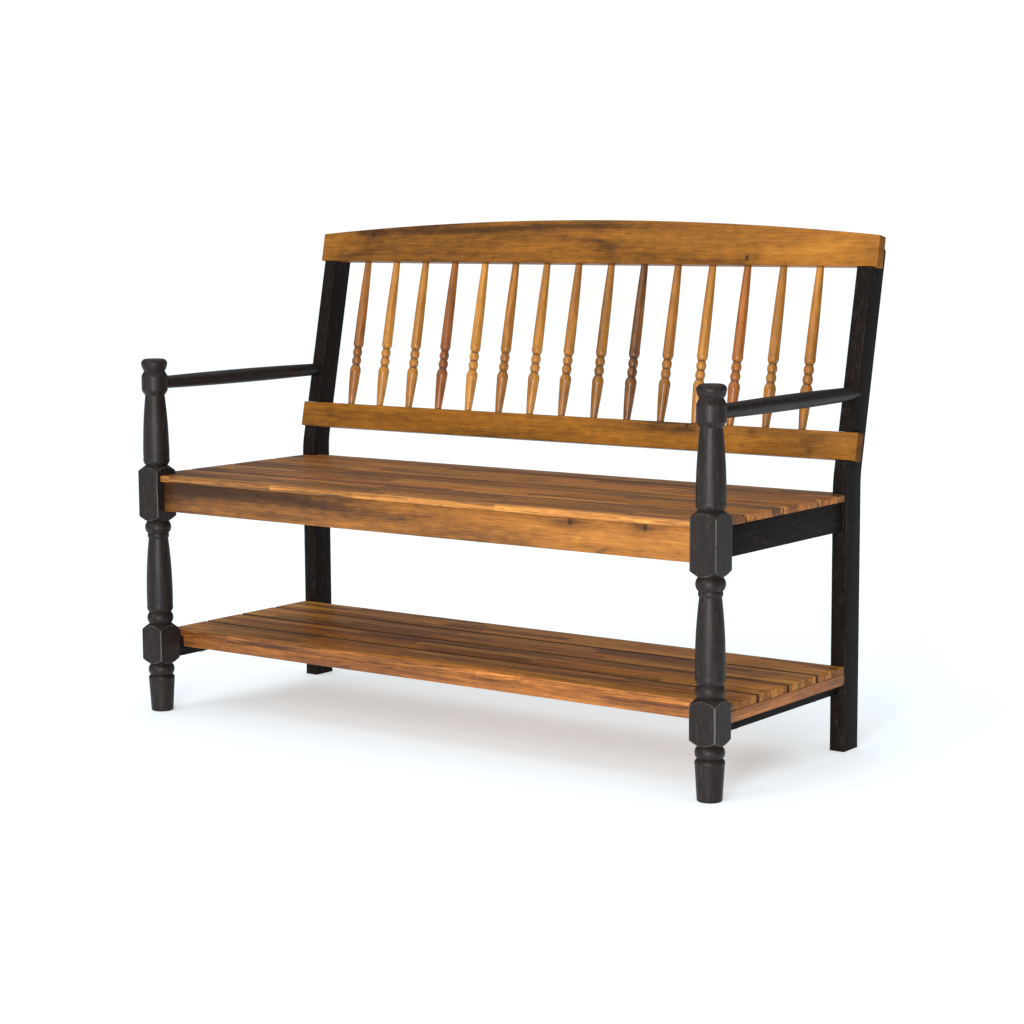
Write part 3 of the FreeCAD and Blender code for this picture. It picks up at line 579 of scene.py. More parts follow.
def wood(name, along="X", leans=False, shift=(0, 0, 0), staves=None, nose=None, knots=(),
         patches=(), tone=0.0, cloud=0.42, streak=0.55, ring=0.10, tint=None, own_tone=False,
         rough=0.40, glaze=1.34, stave_tone=0.34, figure=1.0, grit=0.15, end_light=1.0):
    """Oiled wood: soft clouds of tone, streaks, faint growth rings, fibres, pores and knots.

    The tone is a sum: clouds and streaks stretched along the grain, rings as a power of a
    sine of the distance from the pith, and set patches. It picks a colour between umber and
    honey. A slat has glued staves, a strip of its own along its front edge, the nose, and
    painted shade on the sides in its gaps, fading near its ends.
    """
    finish, sizes = bpy.context.scene.bench_finish, bpy.context.scene.bench_sizes
    umber, amber, honey = (tuple(shade) for shade in (finish.umber, finish.amber, finish.honey))
    deep = tuple(c * 0.45 for c in umber)
    pale = tuple(min(1.0, c * 1.15) for c in honey)
    tree = Tree(bpy.data.materials.new(name))
    noise = lambda place, key: tree.noise(place, *WOOD_NOISE[key])
    size_of = lambda number: tree.math("ABSOLUTE", number)
    grain = grain_place(tree, along, sizes.lean if leans else 0.0)
    u, v, _ = tree.split(grain)
    normal = tree.split(tree.coordinates("Normal"))
    end_face, front_face = (size_of(normal[axis]) for axis in GRAIN_AXES[along][:2])

    local = tree.vector("ADD", grain, shift)
    if staves:
        edge, reach, share, seed = staves
        numbers, joint = lay_staves(
            tree, grain, sizes.stave_width * share, sizes.stave_length, edge - 0.002, seed)
        local = tree.vector("ADD", local, tree.vector("SCALE", tree.join(*numbers), scale=3.0))
    warp = tree.noise(local, *WOOD_NOISE["warp"], colour=True)
    warp = tree.vector("SUBTRACT", warp, (0.5, 0.5, 0.5))
    stray = lambda place, by: tree.vector("ADD", place, tree.vector("MULTIPLY", warp, by))
    bent = stray(local, (0.10, 0.020, 0.020))
    wobble = stray(grain, (0.012, 0.0, 0.006))
    roam = stray(grain, (0.16, 0.0, 0.016))
    dark = 0.0
    for at, size in knots:
        push, core = knot(tree, grain, wobble, at, size)
        bent = tree.vector("ADD", bent, push)
        dark = tree.math("MAXIMUM", dark, core)

    _, side, height = tree.split(bent)
    radius = tree.vector("LENGTH", tree.join(
        0.0, tree.add(side, PITH_AWAY[0]), tree.add(height, PITH_AWAY[1])))
    wave = tree.math("SINE", tree.times(radius, RING_RATE))
    rings = tree.math("POWER", tree.math("MULTIPLY_ADD", wave, 0.5, 0.5), 2.0)
    fibres = noise(bent, "fibres")
    value = tree.add(
        tree.vary(noise(bent, "clouds"), cloud * 2.0), 0.50 + tone,
        tree.vary(noise(bent, "streaks"), streak * 1.6), tree.vary(noise(local, "mottle"), 0.26),
        tree.vary(fibres, 0.50 * figure), tree.vary(noise(bent, "lines"), grit),
        tree.vary(rings, -ring))
    if staves:
        depth, change_at, left, right, nose_tint = nose
        strip = tree.span(v, edge + depth, edge + depth + 0.001, 1.0, 0.0)
        plain = tree.math("SUBTRACT", 1.0, strip)
        turn = tree.span(u, change_at - 0.0004, change_at + 0.0004, left, right)
        value = tree.add(value, tree.times(strip, turn),
                         tree.vary(numbers[0], tree.times(plain, stave_tone)))
    if own_tone:
        value = tree.add(value, tree.attribute("tone"))
    for centre, spread, slant, change in patches:
        value = tree.add(value, tree.times(fade(tree, roam, centre, spread, slant), change))
    value = tree.math("SUBTRACT", value, dark)

    colour = tree.ramp(
        value, ((0.0, deep), (0.20, umber), (0.52, amber), (0.86, honey), (1.0, pale)))
    ticks = tree.span(noise(bent, "ticks"), 0.56, 0.74)
    colour = tree.mix(tree.times(ticks, 0.5 * figure), colour, umber)
    if tint:
        colour = tree.mix(1.0, colour, tint, "MULTIPLY")
    if staves:
        hue = tree.mix(numbers[2], (1.08, 0.90, 0.80), (0.95, 1.06, 1.00))
        colour = tree.mix(tree.times(plain, 0.8), colour, hue, "MULTIPLY")
        seam = tree.span(joint, 0.0002, 0.0010, 0.8, 0.0)
        colour = tree.mix(tree.times(plain, seam), colour, deep)
        colour = tree.mix(strip, colour, tree.mix(1.0, colour, nose_tint, "MULTIPLY"))
        # Painted shade: slat sides that face the gaps turn towards the deep tone, less near the
        # slat ends; the rearmost face is darkened the same way.
        inside = tree.span(v, edge + 0.020, edge + 0.021)
        shade_away_from_ends = tree.span(size_of(u), reach - 0.014, reach - 0.003, 1.0, 0.0)
        shade = tree.times(tree.span(front_face, 0.12, 0.50), inside, shade_away_from_ends, 0.95)
        colour = tree.mix(shade, colour, deep)
    pores = tree.span(noise(bent, "pores"), 0.60, 0.74)
    colour = tree.mix(tree.times(pores, 0.32), colour, deep)
    if own_tone:
        reddened = tree.mix(1.0, colour, (1.06, 0.80, 0.86), "MULTIPLY")
        colour = tree.mix(tree.attribute("ruddy"), colour, reddened)
        # Painted shade: darker in the spindles' grooves and at their ends in the rails.
        colour = tree.mix(tree.attribute("groove_shade"), colour, deep)
    end_grain = tree.span(end_face, 0.6, 0.9)
    dots = tree.span(noise(grain, "end_dots"), 0.42, 0.66, 1.15 * end_light, 0.68 * end_light)
    end_tint = tree.vector("SCALE", (1.0, 0.94, 0.93), scale=dots)
    colour = tree.mix(end_grain, colour, end_tint, "MULTIPLY")
    shine = tree.math("MULTIPLY_ADD", fibres, 0.18, rough - 0.09)
    shine = tree.add(shine, tree.times(end_grain, 0.25))
    relief = tree.math("SUBTRACT", tree.times(fibres, 0.4), pores)
    return tree.finish(colour, shine, relief, 0.00010, IOR=glaze)


def paint(name, along="Z", glaze=1.30, shade=1.0, rough=0.32):
    """Black paint rubbed thin on the arrises, the pale rub partly a painted highlight, with the
    wood's grain telegraphing through.
    """
    finish = bpy.context.scene.bench_finish
    tree = Tree(bpy.data.materials.new(name))
    grain = grain_place(tree, along)
    ridges = tree.noise(grain, (9.0, 300.0, 300.0), 3.0, 0.62)
    broad = tree.noise(grain, (5.0, 30.0, 30.0), 3.0, 0.6)
    flecks = tree.noise(grain, (120.0, 700.0, 700.0), 2.0, 0.6)
    scuffs = tree.noise(grain, (45.0, 190.0, 190.0), 4.0, 0.72)
    # A shade below one darkens the whole paint: painted shade on the posts and the side rails.
    tone = lambda factor: tuple(c * factor * shade for c in finish.charcoal)
    rubs = [tree.vary(part, 0.9) for part in (broad, ridges, flecks)]
    # The pale arrises are partly rubbed paint and partly a painted highlight along the edges.
    rubbed_and_highlit = tree.span(tree.add(tree.attribute("wear_and_highlight"), *rubs), 0.42, 1.00)
    colour = tree.mix(broad, tone(0.6), tone(1.5))
    colour = tree.mix(tree.span(ridges, 0.48, 0.78, 0.0, 0.6), colour, tone(3.0))
    colour = tree.mix(tree.span(scuffs, 0.52, 0.72, 0.0, 0.75), colour, tone(4.2))
    colour = tree.mix(tree.times(rubbed_and_highlit, 0.75 * shade ** 0.5), colour, tuple(finish.bare_and_highlight))
    shine = tree.add(tree.math("MULTIPLY_ADD", broad, 0.14, rough), tree.times(scuffs, 0.14))
    relief = tree.add(tree.times(ridges, 0.8), tree.times(scuffs, 0.5))
    return tree.finish(colour, shine, relief, 0.00026, IOR=glaze)


def bolt_steel(name):
    """Brushed, slightly dull steel."""
    steel = tuple(bpy.context.scene.bench_finish.steel)
    tree = Tree(bpy.data.materials.new(name))
    haze = tree.noise(tree.coordinates("Object"), (900.0, 900.0, 900.0), 3.0, 0.6)
    colour = tree.mix(haze, tuple(c * 0.8 for c in steel), steel)
    shine = tree.math("MULTIPLY_ADD", haze, 0.25, 0.25)
    return tree.finish(colour, shine, haze, 0.00003, Metallic=1.0)


# What sets each wood apart. In grain coordinates, knots are (place, size) and patches are
# (centre, reach, slant, change). Staves are (front edge, half length, width share, seed) and
# the nose is (depth, where its tone changes, tone on the left, on the right, tint)
WOODS = {
    "top_rail": dict(
        leans=True, cloud=0.34, streak=0.16, ring=0.05, tone=-0.20, tint=(1.0, 0.98, 0.70),
        figure=0.6, glaze=1.24, end_light=0.75,
        knots=(((-0.4926, 0.0559, 0.9111), 0.006), ((0.3664, 0.0559, 0.8712), 0.006)),
        patches=(((-0.62, 0.056, 0.88), (0.55, 1.0, 1.0), 0.0, 0.02),
                 ((-0.10, 0.056, 0.922), (0.26, 1.0, 0.0075), 0.02, -0.25),
                 ((0.064, 0.056, 0.890), (0.030, 1.0, 0.030), 0.0, -0.13),
                 ((0.62, 0.056, 0.88), (0.45, 1.0, 1.0), 0.0, 0.20))),
    "lower_rail": dict(
        leans=True, shift=(1.7, 0.3, 0.2), cloud=0.30, streak=0.15, ring=0.05, figure=0.6,
        tone=-0.10, tint=(1.0, 1.0, 0.62), glaze=1.22, end_light=0.62,
        knots=(((0.2811, 0.0559, 0.5691), 0.004), ((0.4140, 0.0559, 0.5660), 0.0018),
               ((0.3960, 0.0559, 0.5390), 0.0014), ((0.5310, 0.0559, 0.5340), 0.0018)),
        patches=(((-0.50, 0.056, 0.545), (0.12, 1.0, 0.02), 0.0, -0.12),
                 ((0.250, 0.056, 0.563), (0.050, 1.0, 0.018), 0.0, -0.11),
                 ((0.262, 0.056, 0.577), (0.060, 1.0, 0.004), 0.0, -0.28),
                 ((0.545, 0.056, 0.552), (0.050, 1.0, 0.012), 0.1, -0.14),
                 ((0.400, 0.056, 0.550), (0.120, 1.0, 0.004), 0.03, 0.12))),
    "apron": dict(
        shift=(3.1, 0.0, 0.0), cloud=0.36, streak=0.20, ring=0.06, tone=-0.17,
        tint=(1.0, 0.97, 0.95), figure=0.7,
        knots=(((0.3367, -0.2692, 0.4248), 0.007), ((0.4815, -0.2692, 0.4262), 0.007)),
        patches=(((-0.47, -0.269, 0.422), (0.14, 1.0, 0.015), -0.02, -0.40),
                 ((-0.25, -0.269, 0.419), (0.13, 1.0, 0.011), -0.04, -0.26),
                 ((-0.57, -0.269, 0.40), (0.06, 1.0, 0.03), 0.0, -0.16),
                 ((0.41, -0.269, 0.384), (0.012, 1.0, 0.006), 0.4, -0.22),
                 ((0.60, -0.269, 0.40), (0.45, 1.0, 1.0), 0.0, 0.20))),
    "seat_slat": dict(
        staves=(SEAT_LOW[1], SEAT_HIGH[0], 1.0, 3.0),
        nose=(0.0085, -0.1154, 0.06, 0.15, (1.0, 0.98, 0.92)),
        cloud=0.30, streak=0.75, tone=-0.08, glaze=1.46, grit=0.7, end_light=1.1),
    "shelf_slat": dict(
        staves=(SHELF_LOW[1], SHELF_HIGH[0] + 0.03, 0.82, 8.0), stave_tone=0.42,
        nose=(0.0012, 0.11, -0.28, -0.13, (1.04, 0.92, 1.04)),
        cloud=0.26, streak=0.70, tone=0.11, glaze=1.36, grit=0.8, end_light=0.78),
    "shelf_frame": dict(
        shift=(5.0, 0.2, 0.1), tone=-0.15, tint=(1.06, 0.96, 1.22), streak=0.5, figure=0.7,
        knots=(((-0.0207, -0.2872, 0.1490), 0.006),)),
    "batten": dict(along="Y", shift=(0.4, 0.9, 0.1), tone=-0.08, tint=(1.10, 0.93, 0.92)),
    "under": dict(along="Y", shift=(0.1, 1.3, 0.7), tone=-0.05),
    "rear_apron": dict(shift=(7.0, 0.2, 0.4)),
    "spindle": dict(
        along="Z", leans=True, own_tone=True, cloud=0.34, streak=0.30, figure=0.5,
        tint=(0.99, 1.03, 0.84), rough=0.32, glaze=1.42),
}
# The black paint's grain axis, then where it isn't the usual: glaze, shade and roughness
# Shade 0.8 makes the posts and the side rails a darker copy of the same paint: painted shade for
# parts behind the seat and faces turned from the light.
PAINTS = {
    "paint_turned": ("Z",), "paint_arm": ("Y",),
    "paint_post": ("Z", 1.12, 0.8, 0.34), "paint_side": ("Y", 1.12, 0.8, 0.34),
}
LOOKS = {}


def look(key):
    """A finish by name, made when it is first asked for."""
    if key not in LOOKS:
        if key in PAINTS:
            LOOKS[key] = paint("black_" + key, *PAINTS[key])
        elif key in WOODS:
            LOOKS[key] = wood(key + "_wood", **WOODS[key])
        else:
            LOOKS[key] = bolt_steel("bolt_" + key)
    return LOOKS[key]


# Pieces
class BENCH_OT_front_legs(bpy.types.Operator):
    """Shape the two front legs: turned lengths between square blocks"""

    bl_idname = "bench.front_legs"
    bl_label = "Front legs"

    def execute(self, context):
        """The radius is the lesser of the turned outline and a rounded square, softly joined.

        The square's polar radius is h/cos(a) on a face and d*cos(45-a)+sqrt(c^2-(d*sin(45-a))^2)
        on a corner, with d the distance of the corner's centre and c its rounding. Columns
        crowd towards the corners, and rows on the shoulders.
        """
        sizes = context.scene.bench_sizes
        half, ease = (LEG_HIGH[0] - LEG_LOW[0]) / 2, sizes.block_ease
        just_past_corner, blend, arris, shoulder_edge = half * 1.43, 0.0007, 0.05, 0.0012
        radii, heights = outline(LEG_OUTLINE)
        shoulder = (radii > half) & (radii < just_past_corner)
        radii, heights = thin_out(radii, heights, sizes.leg_rows, extra=2.2 * shoulder[1:])
        part = np.linspace(-1, 1, 29)[:-1]
        quarter = math.pi / 4 * part * (1.35 - 0.35 * part ** 2)
        angles = (quarter[None] + np.arange(4)[:, None] * math.pi / 2).ravel()
        fold = np.abs((angles + math.pi / 4) % (math.pi / 2) - math.pi / 4)
        middle = math.sqrt(2) * (half - ease)
        off = math.pi / 4 - fold
        arc = middle * np.cos(off) + np.sqrt(np.maximum(ease ** 2 - (middle * np.sin(off)) ** 2, 0))
        flat = np.tan(fold) <= (half - ease) / half
        square = np.where(flat, half / np.cos(fold), arc)[None]
        turned = np.broadcast_to(radii[:, None], (len(radii), len(angles)))
        share = np.clip(0.5 + 0.5 * (square - turned) / blend, 0, 1)
        radius = square + (turned - square) * share - blend * share * (1 - share)
        rings = circle_rings(radius, heights[:, None], angles[None])
        # The block corners and the shoulder edges get rubbed paint and a painted highlight.
        corner = np.exp(-(off[None] / arris) ** 2) * (turned > square)
        edge = np.exp(-((turned - square) / shoulder_edge) ** 2) * (turned > half)
        wear_and_highlight = np.maximum(np.maximum(corner, edge * 0.8), 0.12)
        for side, sign in (("left", -1), ("right", 1)):
            placed = rings + np.array([sign * LEG_AXIS[0], LEG_AXIS[1], 0.0])
            leg = skin("front_leg_shape_" + side, placed, {"wear_and_highlight": wear_and_highlight}, sharp=50.0)
            own(leg, "black_paint", look("paint_turned"), "front_leg_" + side)
        return {"FINISHED"}


class BENCH_OT_rear_posts(bpy.types.Operator):
    """Shape the two rear posts: upright below, leaning above, notched for the rails"""

    bl_idname = "bench.rear_posts"
    bl_label = "Rear posts"

    def execute(self, context):
        """A rounded section carried up a front line and a back line.

        Both lines are upright, then an arc that turns by the lean, then straight. In a
        notch the front line steps back by the rail's thickness.
        """
        lean = context.scene.bench_sizes.lean
        run = np.array([math.sin(lean), math.cos(lean)])
        across = np.array([math.cos(lean), -math.sin(lean)])
        turn = np.linspace(0, lean, 12)

        def bow(face, height):
            """The arc of one line of the side view, from upright to the full lean."""
            foot = height - BEND_RADIUS * math.tan(lean / 2)
            return np.stack([face + BEND_RADIUS * (1 - np.cos(turn)),
                             foot + BEND_RADIUS * np.sin(turn)], -1)

        front, rear = POST_LOW[1], POST_LOW[1] + POST_DEEP
        rear_bend = BEND_HEIGHT + (POST_DEEP - POST_LEAN_DEEP / math.cos(lean)) / math.tan(lean)
        front_bow, rear_bow = bow(front, BEND_HEIGHT), bow(rear, rear_bend)
        start = (front_bow[-1] - BACK_FOOT) @ run
        upper = np.sort(np.concatenate([
            np.linspace(start, POST_REACH, 9), np.repeat((0.0, LOWER_RAIL_TALL, TOP_RAIL_FOOT), 2),
            POST_REACH - quarter_steps(POST_TOP_ROUND, 7, POST_TOP_TURN)]))
        share = ((upper - start) / (POST_REACH - start))[:, None]

        def line(face, arc, end):
            """One line of the side view: a foot, its arc and the leaning top."""
            foot = [[face, 0.0], [face, 0.0012]]
            return np.concatenate([foot, arc, arc[-1] + share * (end - arc[-1])])

        top = BACK_FOOT + run * POST_REACH
        front_line = line(front, front_bow, top)
        depth = line(rear, rear_bow, top + across * POST_LEAN_DEEP) - front_line
        length = np.linalg.norm(depth, axis=1)
        level = upper + np.where(np.append(False, np.diff(upper) == 0), 1e-6, -1e-6)
        notch = ((level > 0) & (level < LOWER_RAIL_TALL)) | (level > TOP_RAIL_FOOT)
        below = np.zeros(len(length) - len(upper))
        cut = np.append(below, notch * RAIL_THICK)
        droop = np.append(below, quarter_draw(POST_REACH - upper, POST_TOP_ROUND))
        ease = np.full(len(length), 0.0014)
        ease[0] = 0.0004
        inner, outer = (np.full(len(length), corner[0]) for corner in (POST_LOW, POST_HIGH))
        a, b = rounded_sections(cut, length - droop, inner, outer, [ease] * 4)
        aim = depth / length[:, None]
        y, z = (front_line[:, None, axis] + aim[:, None, axis] * a for axis in (0, 1))
        rings = np.stack([b, y, z], -1)[:, ::-1]
        layers = {"wear_and_highlight": corner_wear_and_highlight(a.shape, 0.75)}
        for side in SIDES:
            placed = rings if side == "right" else (rings * np.array([-1, 1, 1]))[:, ::-1]
            post = skin("rear_post_shape_" + side, placed, layers, sharp=40.0)
            own(post, "black_paint", look("paint_post"), "rear_post_" + side)
        return {"FINISHED"}


class BENCH_OT_arms(bpy.types.Operator):
    """Shape the two arms: rods that swell towards their middle"""

    bl_idname = "bench.arms"
    bl_label = "Arms"

    def execute(self, context):
        """A circle carried along Y whose radius follows an outline with one shallow arc."""
        low, high = box("arm_right")
        end, straight, bulge = 0.0115, 0.014, 0.0019
        rings, _ = turned([
            (end, low[1], 0), (end, low[1] + straight, 0), (end, high[1] - straight, bulge),
            (end, high[1], 0)], 90, 48)
        centre = (low[2] + high[2]) / 2
        for side, sign in (("left", -1), ("right", 1)):
            x = sign * LEG_AXIS[0] + rings[..., 1]
            placed = np.stack([x, rings[..., 2], centre + rings[..., 0]], -1)
            arm = skin("arm_shape_" + side, placed, {"wear_and_highlight": np.zeros(x.shape)})
            own(arm, "black_paint", look("paint_arm"), "arm_" + side)
        return {"FINISHED"}


class BENCH_OT_side_rails(bpy.types.Operator):
    """Shape the painted side rails under the seat and under the shelf"""

    bl_idname = "bench.side_rails"
    bl_label = "Side rails"

    def execute(self, context):
        """Rounded sections carried along Y from the leg's block to the post."""
        ease = context.scene.bench_sizes.board_ease
        for kind in ("seat_side_rail", "shelf_side_rail"):
            for side in SIDES:
                low, high = box(kind + "_" + side)
                rail = board(kind + "_shape_" + side, (LEG_HIGH[1], POST_LOW[1]), low[2], high[2],
                             low[0], high[0], [ease] * 4, along_y, wear_and_highlight=0.55)
                own(rail, "black_paint", look("paint_side"), kind + "_" + side)
        return {"FINISHED"}


class BENCH_OT_aprons(bpy.types.Operator):
    """Shape the front and the rear apron of the seat"""

    bl_idname = "bench.aprons"
    bl_label = "Aprons"

    def execute(self, context):
        """Rounded sections carried along X between the legs and between the posts."""
        rounds = [context.scene.bench_sizes.board_ease] * 4
        plank("front_apron", "apron", rounds, reach=LEG_LOW[0])
        plank("rear_apron", "rear_apron", rounds, reach=POST_LOW[0])
        return {"FINISHED"}


class BENCH_OT_seat_slats(bpy.types.Operator):
    """Shape the four seat slats, the outer ones notched round the legs and the posts"""

    bl_idname = "bench.seat_slats"
    bl_label = "Seat slats"

    def execute(self, context):
        """Rounded sections carried along X, whose front or rear line steps at a notch."""
        sizes = context.scene.bench_sizes
        ease, clear = sizes.slat_ease, 0.001
        notched = lambda ends, between: [ends] * 2 + [between] * 2 + [ends] * 2
        for index in range(1, 5):
            node = "seat_slat_%d" % index
            low, high = box(node)
            end, fronts, rears = high[0], low[1], high[1]
            stops = (-end, end)
            rounds = [ease * 0.6, ease * 0.6, ease, ease]
            if index in (1, 4):
                inner = (LEG_LOW if index == 1 else POST_LOW)[0] - clear
                stops = (-end, -inner, -inner, inner, inner, end)
            if index == 1:
                fronts = notched(LEG_HIGH[1] + clear, fronts)
                rounds[0] = rounds[3] = notched(ease, sizes.nose_round)
            elif index == 4:
                rears = notched(POST_LOW[1] - clear, rears)
            slat = board(node + "_shape", stops, fronts, rears, low[2], high[2], rounds,
                         along_x, ease)
            own(slat, "wood", look("seat_slat"), node)
        return {"FINISHED"}


class BENCH_OT_back_rails(bpy.types.Operator):
    """Shape the lower and the top rail of the back"""

    bl_idname = "bench.back_rails"
    bl_label = "Back rails"

    def execute(self, context):
        """Rounded sections carried along X and leaned. The top rail's height follows an arc:
        with rise c over half span s, its circle's radius is (s^2+c^2)/(2c)."""
        sizes = context.scene.bench_sizes
        ease, span = sizes.board_ease, box("lower_back_rail")[1][0]
        foot_y, foot_z = BACK_FOOT
        circle = (span ** 2 + TOP_RAIL_RISE ** 2) / (2 * TOP_RAIL_RISE)
        curve = np.linspace(-span, span, 121)
        crown = foot_z + TOP_RAIL_FOOT + TOP_RAIL_END_TALL + TOP_RAIL_RISE
        arc = crown - circle + np.sqrt(circle ** 2 - curve ** 2)
        place = lambda s, a, b: leaned(along_x(s, a, b), sizes.lean)
        for node, key, stops, bottom, top in (
                ("lower_back_rail", "lower_rail", (-span, span), foot_z, foot_z + LOWER_RAIL_TALL),
                ("top_rail", "top_rail", curve, foot_z + TOP_RAIL_FOOT, arc)):
            rail = board(node + "_shape", stops, foot_y, foot_y + RAIL_THICK, bottom, top,
                         [ease] * 4, place, ease)
            own(rail, "wood", look(key), node)
        return {"FINISHED"}


class BENCH_OT_spindles(bpy.types.Operator):
    """Shape the fifteen spindles of the back"""

    bl_idname = "bench.spindles"
    bl_label = "Spindles"

    def execute(self, context):
        """Circles whose radius follows the spindle's outline, stood up and leaned."""
        sizes = context.scene.bench_sizes
        rings, heights = turned(SPINDLE_OUTLINE, 150, sizes.spindle_sides, soften=0.0006)
        tones = (-0.06, 0.02, 0.06, -0.10, 0.06, -0.02, 0.04, 0.06, 0.0, -0.22, -0.10, 0.06,
                 -0.04, 0.0, 0.04)
        ruddy = (0.4, 0.0, 0.0, 0.9, 0.0, 0.2, 0.0, 0.1, 0.0, 0.5, 0.2, 0.0, 0.9, 0.1, 0.2)
        # Painted shade: each spindle darkens in its turned grooves and at both ends, where it
        # enters the rails.
        grooves = np.array([0.0785, 0.0952, 0.1119, 0.0, SPINDLE_TALL])
        groove_shade = 0.80 * np.exp(-((heights[:, None] - grooves) / 0.0015) ** 2).max(1)
        groove_shade = np.repeat(groove_shade[:, None], sizes.spindle_sides, 1)
        foot_y, foot_z = BACK_FOOT[0] + RAIL_THICK / 2, BACK_FOOT[1] + LOWER_RAIL_TALL
        for index, (tone, red) in enumerate(zip(tones, ruddy)):
            node = "spindle_%02d" % (index + 1)
            low, high = box(node)
            placed = rings + np.array([(low[0] + high[0]) / 2, foot_y, foot_z])
            layers = {"tone": np.full(groove_shade.shape, tone), "ruddy": np.full(groove_shade.shape, red),
                      "groove_shade": groove_shade}
            spindle = skin(node + "_shape", leaned(placed, sizes.lean), layers)
            own(spindle, "wood", look("spindle"), node)
        return {"FINISHED"}


class BENCH_OT_shelf(bpy.types.Operator):
    """Shape the shelf's slats, its long rails and its end battens"""

    bl_idname = "bench.shelf"
    bl_label = "Shelf"

    def execute(self, context):
        """Rounded sections carried along X for the slats and rails, along Y for the battens."""
        ease, end_round = context.scene.bench_sizes.slat_ease, 0.005
        for index in range(1, 5):
            rounds = [ease * 0.6, ease * 0.6, ease, ease]
            plank("shelf_slat_%d" % index, "shelf_slat", rounds, ease=ease)
        for node in ("shelf_front_rail", "shelf_rear_rail"):
            plank(node, "shelf_frame", [ease, ease, ease * 0.2, ease * 0.2])
        curve = quarter_steps(end_round, 9)
        for side in SIDES:
            node = "shelf_end_batten_" + side
            low, high = box(node)
            stops = np.concatenate([low[1] + curve, high[1] - curve[::-1]])
            lift = quarter_draw(np.minimum(stops - low[1], high[1] - stops), end_round)
            batten = board(node + "_shape", stops, low[2] + lift, high[2], low[0], high[0],
                           [ease * 0.5] * 4, along_y)
            own(batten, "wood", look("batten"), node)
        return {"FINISHED"}


class BENCH_OT_under_frame(bpy.types.Operator):
    """Finish the cleats, bearers and braces under the seat and the shelf"""

    bl_idname = "bench.under_frame"
    bl_label = "Under frame"

    def execute(self, context):
        """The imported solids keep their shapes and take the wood's look."""
        for node in ("seat_end_cleat", "seat_bearer", "shelf_bearer"):
            for side in SIDES:
                dress(node + "_" + side, look("under"))
        dress("corner_braces", look("under"))
        return {"FINISHED"}


class BENCH_OT_bolts(bpy.types.Operator):
    """Finish the bolts"""

    bl_idname = "bench.bolts"
    bl_label = "Bolts"

    def execute(self, context):
        """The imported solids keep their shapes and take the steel's look."""
        for node in ("back_bolts", "seat_bolts", "shelf_bolts"):
            dress(node, look("steel"))
        return {"FINISHED"}


def dress(node, material):
    """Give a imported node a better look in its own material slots."""
    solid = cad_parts[node]
    if not solid.material_slots:
        solid.data.materials.append(material)
    for slot in solid.material_slots:
        slot.material = material


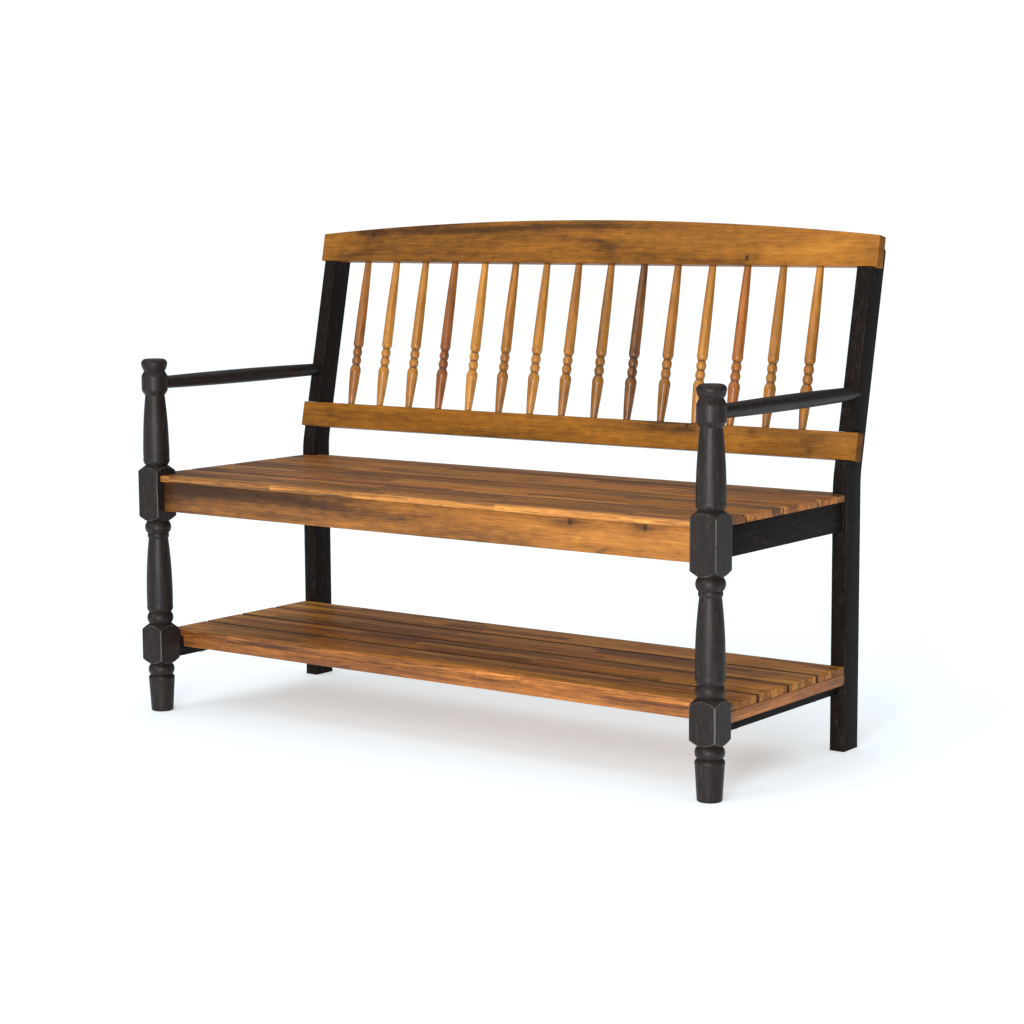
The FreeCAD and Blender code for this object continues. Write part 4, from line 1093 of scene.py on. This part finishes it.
class BENCH_OT_stage(bpy.types.Operator):
    """Lay the pale floor, hang the soft lights and set the camera"""

    bl_idname = "bench.stage"
    bl_label = "Stage"

    def execute(self, context):
        """The camera stands to the front right and looks a little down."""
        scene = context.scene
        self.lay_floor(tuple(scene.bench_finish.floor))
        self.set_camera(scene)
        self.hang_lights(scene)
        self.fill_room(scene)
        scene.view_settings.view_transform = "Standard"
        return {"FINISHED"}

    def lay_floor(self, colour):
        """A wide square that glows a little, so that its shadows stay pale."""
        corners = np.array([[-15, -15, 0], [15, -15, 0], [15, 15, 0], [-15, 15, 0]], float)
        floor = make_piece("floor", corners, np.array([[0, 1, 2, 3]]))
        tree = Tree(bpy.data.materials.new("pale_floor"))
        haze = tree.noise(tree.coordinates("Object"), (3.0, 3.0, 3.0), 2.0)
        shade = tree.mix(haze, tuple(c * 0.995 for c in colour), colour)
        floor.data.materials.append(
            tree.finish(shade, 0.6, Emission_Color=WHITE, Emission_Strength=0.40))

    def set_camera(self, scene):
        """A camera turned by its azimuth, its elevation and a slight roll."""
        azimuth, elevation, roll = (math.radians(value) for value in (36.47, 7.24, -0.32))
        level = Vector((-math.sin(azimuth), math.cos(azimuth), 0.0))
        ahead = level * math.cos(elevation) - Vector((0.0, 0.0, math.sin(elevation)))
        right = Vector((math.cos(azimuth), math.sin(azimuth), 0.0))
        up = right.cross(ahead)
        turned_right = math.cos(roll) * right + math.sin(roll) * up
        turned_up = -math.sin(roll) * right + math.cos(roll) * up
        lens = bpy.data.cameras.new("camera")
        lens.sensor_width = 36.0
        lens.lens = 83.04
        lens.clip_end = 100.0
        camera = bpy.data.objects.new("camera", lens)
        matrix = Matrix((turned_right, turned_up, -ahead)).transposed().to_4x4()
        matrix.translation = Vector((2.51026, -3.36599, 0.92125))
        camera.matrix_world = matrix
        scene.collection.objects.link(camera)
        scene.camera = camera

    def hang_lights(self, scene):
        """Two suns, wide patches of the ceiling with soft shadows, and a tall soft box."""
        def hang(name, kind, power, matrix):
            """A light of a kind, placed and turned by a matrix."""
            light = bpy.data.lights.new(name, kind)
            light.energy = power
            holder = bpy.data.objects.new(name, light)
            holder.matrix_world = matrix
            scene.collection.objects.link(holder)
            return light, holder

        for name, towards, angle, strength in (
                ("front_ceiling", (-0.30, -1.0, 0.65), 30.0, 0.80),
                ("top_ceiling", (-0.05, 0.10, 1.0), 90.0, 1.75)):
            aim = Vector(towards).to_track_quat("Z", "Y").to_matrix().to_4x4()
            hang(name, "SUN", strength, aim)[0].angle = math.radians(angle)
        place = Vector((1.7, -3.9, 0.80))
        aim = (Vector((0.0, -0.1, 0.45)) - place).to_track_quat("-Z", "Y").to_matrix().to_4x4()
        light, holder = hang("tall_box", "AREA", 150.0, Matrix.Translation(place) @ aim)
        light.shape = "RECTANGLE"
        light.size, light.size_y = 0.95, 1.56
        holder.visible_camera = False

    def fill_room(self, scene):
        """White light all round, dimmer towards the back, behind a plain white backdrop."""
        world = bpy.data.worlds.new("studio")
        tree = Tree(world)
        glow = tree.node(
            "MapRange", tree.split(tree.coordinates("Generated"))[1], -0.9, 0.5, 0.50, 0.16)
        room = tree.node("Background", WHITE, glow.outputs[0])
        backdrop = tree.node("Background", WHITE, 1.05)
        seen = tree.node("LightPath").outputs["Is Camera Ray"]
        pick = tree.node("MixShader", seen, room.outputs[0], backdrop.outputs[0])
        tree.node("OutputWorld", pick.outputs[0])
        scene.world = world


OPERATORS = (
    BENCH_OT_stage, BENCH_OT_front_legs, BENCH_OT_rear_posts, BENCH_OT_arms,
    BENCH_OT_side_rails, BENCH_OT_aprons, BENCH_OT_seat_slats, BENCH_OT_back_rails,
    BENCH_OT_spindles, BENCH_OT_shelf, BENCH_OT_under_frame, BENCH_OT_bolts,
)


class BENCH_PT_pieces(bpy.types.Panel):
    """The bench's sizes, colours and pieces"""

    bl_idname = "BENCH_PT_pieces"
    bl_label = "Hall bench"
    bl_space_type = "VIEW_3D"
    bl_region_type = "UI"
    bl_category = "Bench"

    def draw(self, context):
        for group in (context.scene.bench_sizes, context.scene.bench_finish):
            column = self.layout.column(align=True)
            for key in group.__annotations__:
                column.prop(group, key)
        for operator in OPERATORS:
            self.layout.operator(operator.bl_idname)


CLASSES = (BenchSizes, BenchFinish) + OPERATORS + (BENCH_PT_pieces,)


def register():
    """Add the classes and the scene's own settings."""
    for item in CLASSES:
        bpy.utils.register_class(item)
    bpy.types.Scene.bench_sizes = PointerProperty(type=BenchSizes)
    bpy.types.Scene.bench_finish = PointerProperty(type=BenchFinish)


def unregister():
    """Take the classes and the settings away again."""
    del bpy.types.Scene.bench_finish
    del bpy.types.Scene.bench_sizes
    for item in reversed(CLASSES):
        bpy.utils.unregister_class(item)


def main():
    """Make every piece in order."""
    register()
    for operator in OPERATORS:
        group, name = operator.bl_idname.split(".")
        getattr(getattr(bpy.ops, group), name)()


if __name__ == "__main__":
    main()
